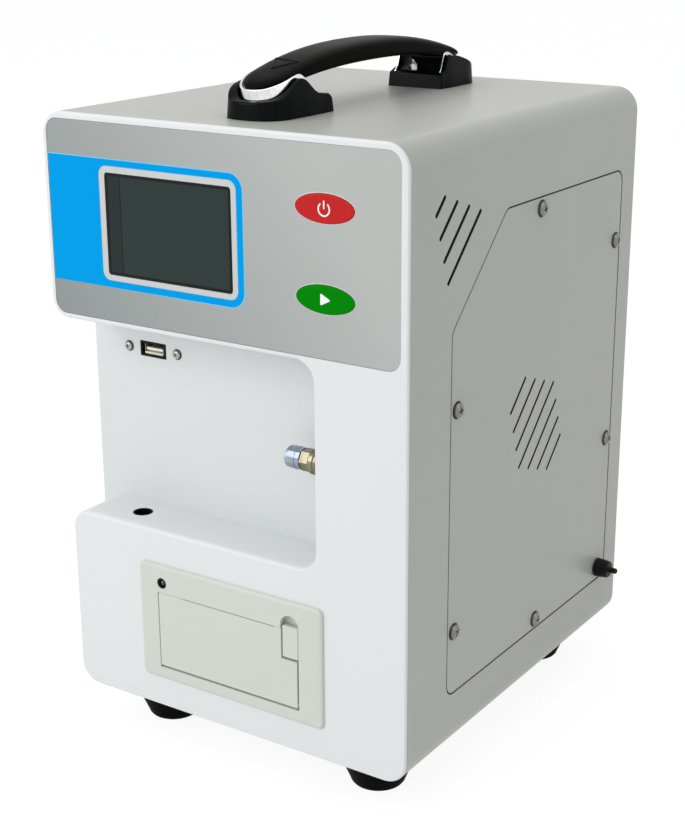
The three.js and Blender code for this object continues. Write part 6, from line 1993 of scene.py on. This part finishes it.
@dataclass
class Studio:
    """Floor, lamps, surroundings and the camera of the photograph."""

    camera_place: Point3 = (503.85, -515.09, 367.95)
    camera_turn: tuple[Point3, ...] = (
        (0.83170598, -0.1685938, 0.52900028), (0.55519168, 0.26151668, -0.78953861),
        (-0.00523108, 0.95036054, 0.31110686))
    lens: float = 69.92
    sensor: float = 36.0
    clip: Point2 = (0.01, 60.0)
    lamps: tuple[Lamp, ...] = (
        Lamp("Key lamp", (-0.75, -1.5, 1.05), (0.0, 0.0, 0.15), 1.3, 16.0),
        Lamp("Top lamp", (0.1, -0.1, 1.9), (0.0, 0.0, 0.2), 1.5, 9.0),
        Lamp("Side lamp", (1.7, 0.2, 0.9), (0.0, 0.0, 0.15), 1.2, 2.4))
    sky: Colour = (0.96, 0.98, 1.0)
    sky_strength: float = 0.53
    floor_colour: Colour = (0.97, 0.97, 0.965)
    floor_roughness: float = 0.8
    floor_half: float = 20.0
    floor_glow: float = 1.08
    floor_white: float = 0.84

    def build(self) -> None:
        """Sets the view, and builds floor, lamps and camera."""
        scene = bpy.context.scene
        scene.view_settings.view_transform = "Standard"
        self.build_world()
        self.build_floor()
        for lamp in self.lamps:
            lamp.build()
        data = bpy.data.cameras.new("Photo camera")
        data.lens, data.sensor_width = self.lens, self.sensor
        data.clip_start, data.clip_end = self.clip
        camera = placed("Photo camera", data)
        turn = Matrix(self.camera_turn).to_4x4()
        camera.matrix_world = Matrix.Translation(ZERO + Vector(self.camera_place) * MILLIMETRE) @ turn
        scene.camera = camera

    def white_to_lens(self, tree: Tree, light: Node, strength: float, share: float) -> Socket:
        """Mixes the white that the lens, gloss and glass see with what lights the object.

        Args:
            tree: the node tree.
            light: the shader that lights the object.
            strength: the white's strength.
            share: the white's share in those rays.

        Returns:
            The mixed shader.
        """
        kind = "Background" if light.type == "BACKGROUND" else "Emission"
        white = add_node(tree, kind, {"Color": (1.0, 1.0, 1.0, 1.0), "Strength": strength})
        path = add_node(tree, "LightPath")
        rays = path.outputs["Is Camera Ray"]
        for label in ("Is Glossy Ray", "Is Transmission Ray"):
            either = add_node(tree, "Math", {0: rays, 1: path.outputs[label]}, operation="MAXIMUM")
            rays = either.outputs[0]
        part = add_node(tree, "Math", {0: rays, 1: share}, operation="MULTIPLY")
        inputs = {0: part.outputs[0], 1: light.outputs[0], 2: white.outputs[0]}
        return add_node(tree, "MixShader", inputs).outputs[0]

    def build_world(self) -> None:
        """Builds a white surround that lights the object at a lower level than it shows."""
        world = bpy.data.worlds.new("Surround")
        bpy.context.scene.world = world
        world.use_nodes = True
        tree = world.node_tree
        tree.nodes.clear()
        inputs = {"Color": (*self.sky, 1.0), "Strength": self.sky_strength}
        light = add_node(tree, "Background", inputs)
        add_node(tree, "OutputWorld", {"Surface": self.white_to_lens(tree, light, 1.0, 1.0)})

    def build_floor(self) -> None:
        """Builds a wide pale floor under the feet."""
        mesh = bpy.data.meshes.new("floor")
        half = self.floor_half
        mesh.from_pydata([(x * half, y * half, 0) for x, y in CORNERS], [], [(0, 1, 2, 3)])
        floor = placed("floor", mesh)
        material = bpy.data.materials.new("Pale floor")
        material.use_nodes = True
        tree = material.node_tree
        shader = tree.nodes["Principled BSDF"]
        feed(shader, {"Base Color": linear(self.floor_colour), "Roughness": self.floor_roughness})
        surface = self.white_to_lens(tree, shader, self.floor_glow, self.floor_white)
        feed(tree.nodes["Material Output"], {"Surface": surface})
        floor.data.materials.append(material)


def main() -> None:
    """Builds the studio and every sub-assembly, in order."""
    logging.basicConfig(level=logging.INFO, format="%(name)s: %(message)s")
    Studio().build()
    overlay, printer, bay = Overlay(), Printer(), Bay()
    Front().build(overlay, printer, bay)
    for assembly in (overlay, bay, printer, Case(), Feet(), Handle(), Back()):
        assembly.build()
    dress_inside()


if __name__ == "__main__":
    main()
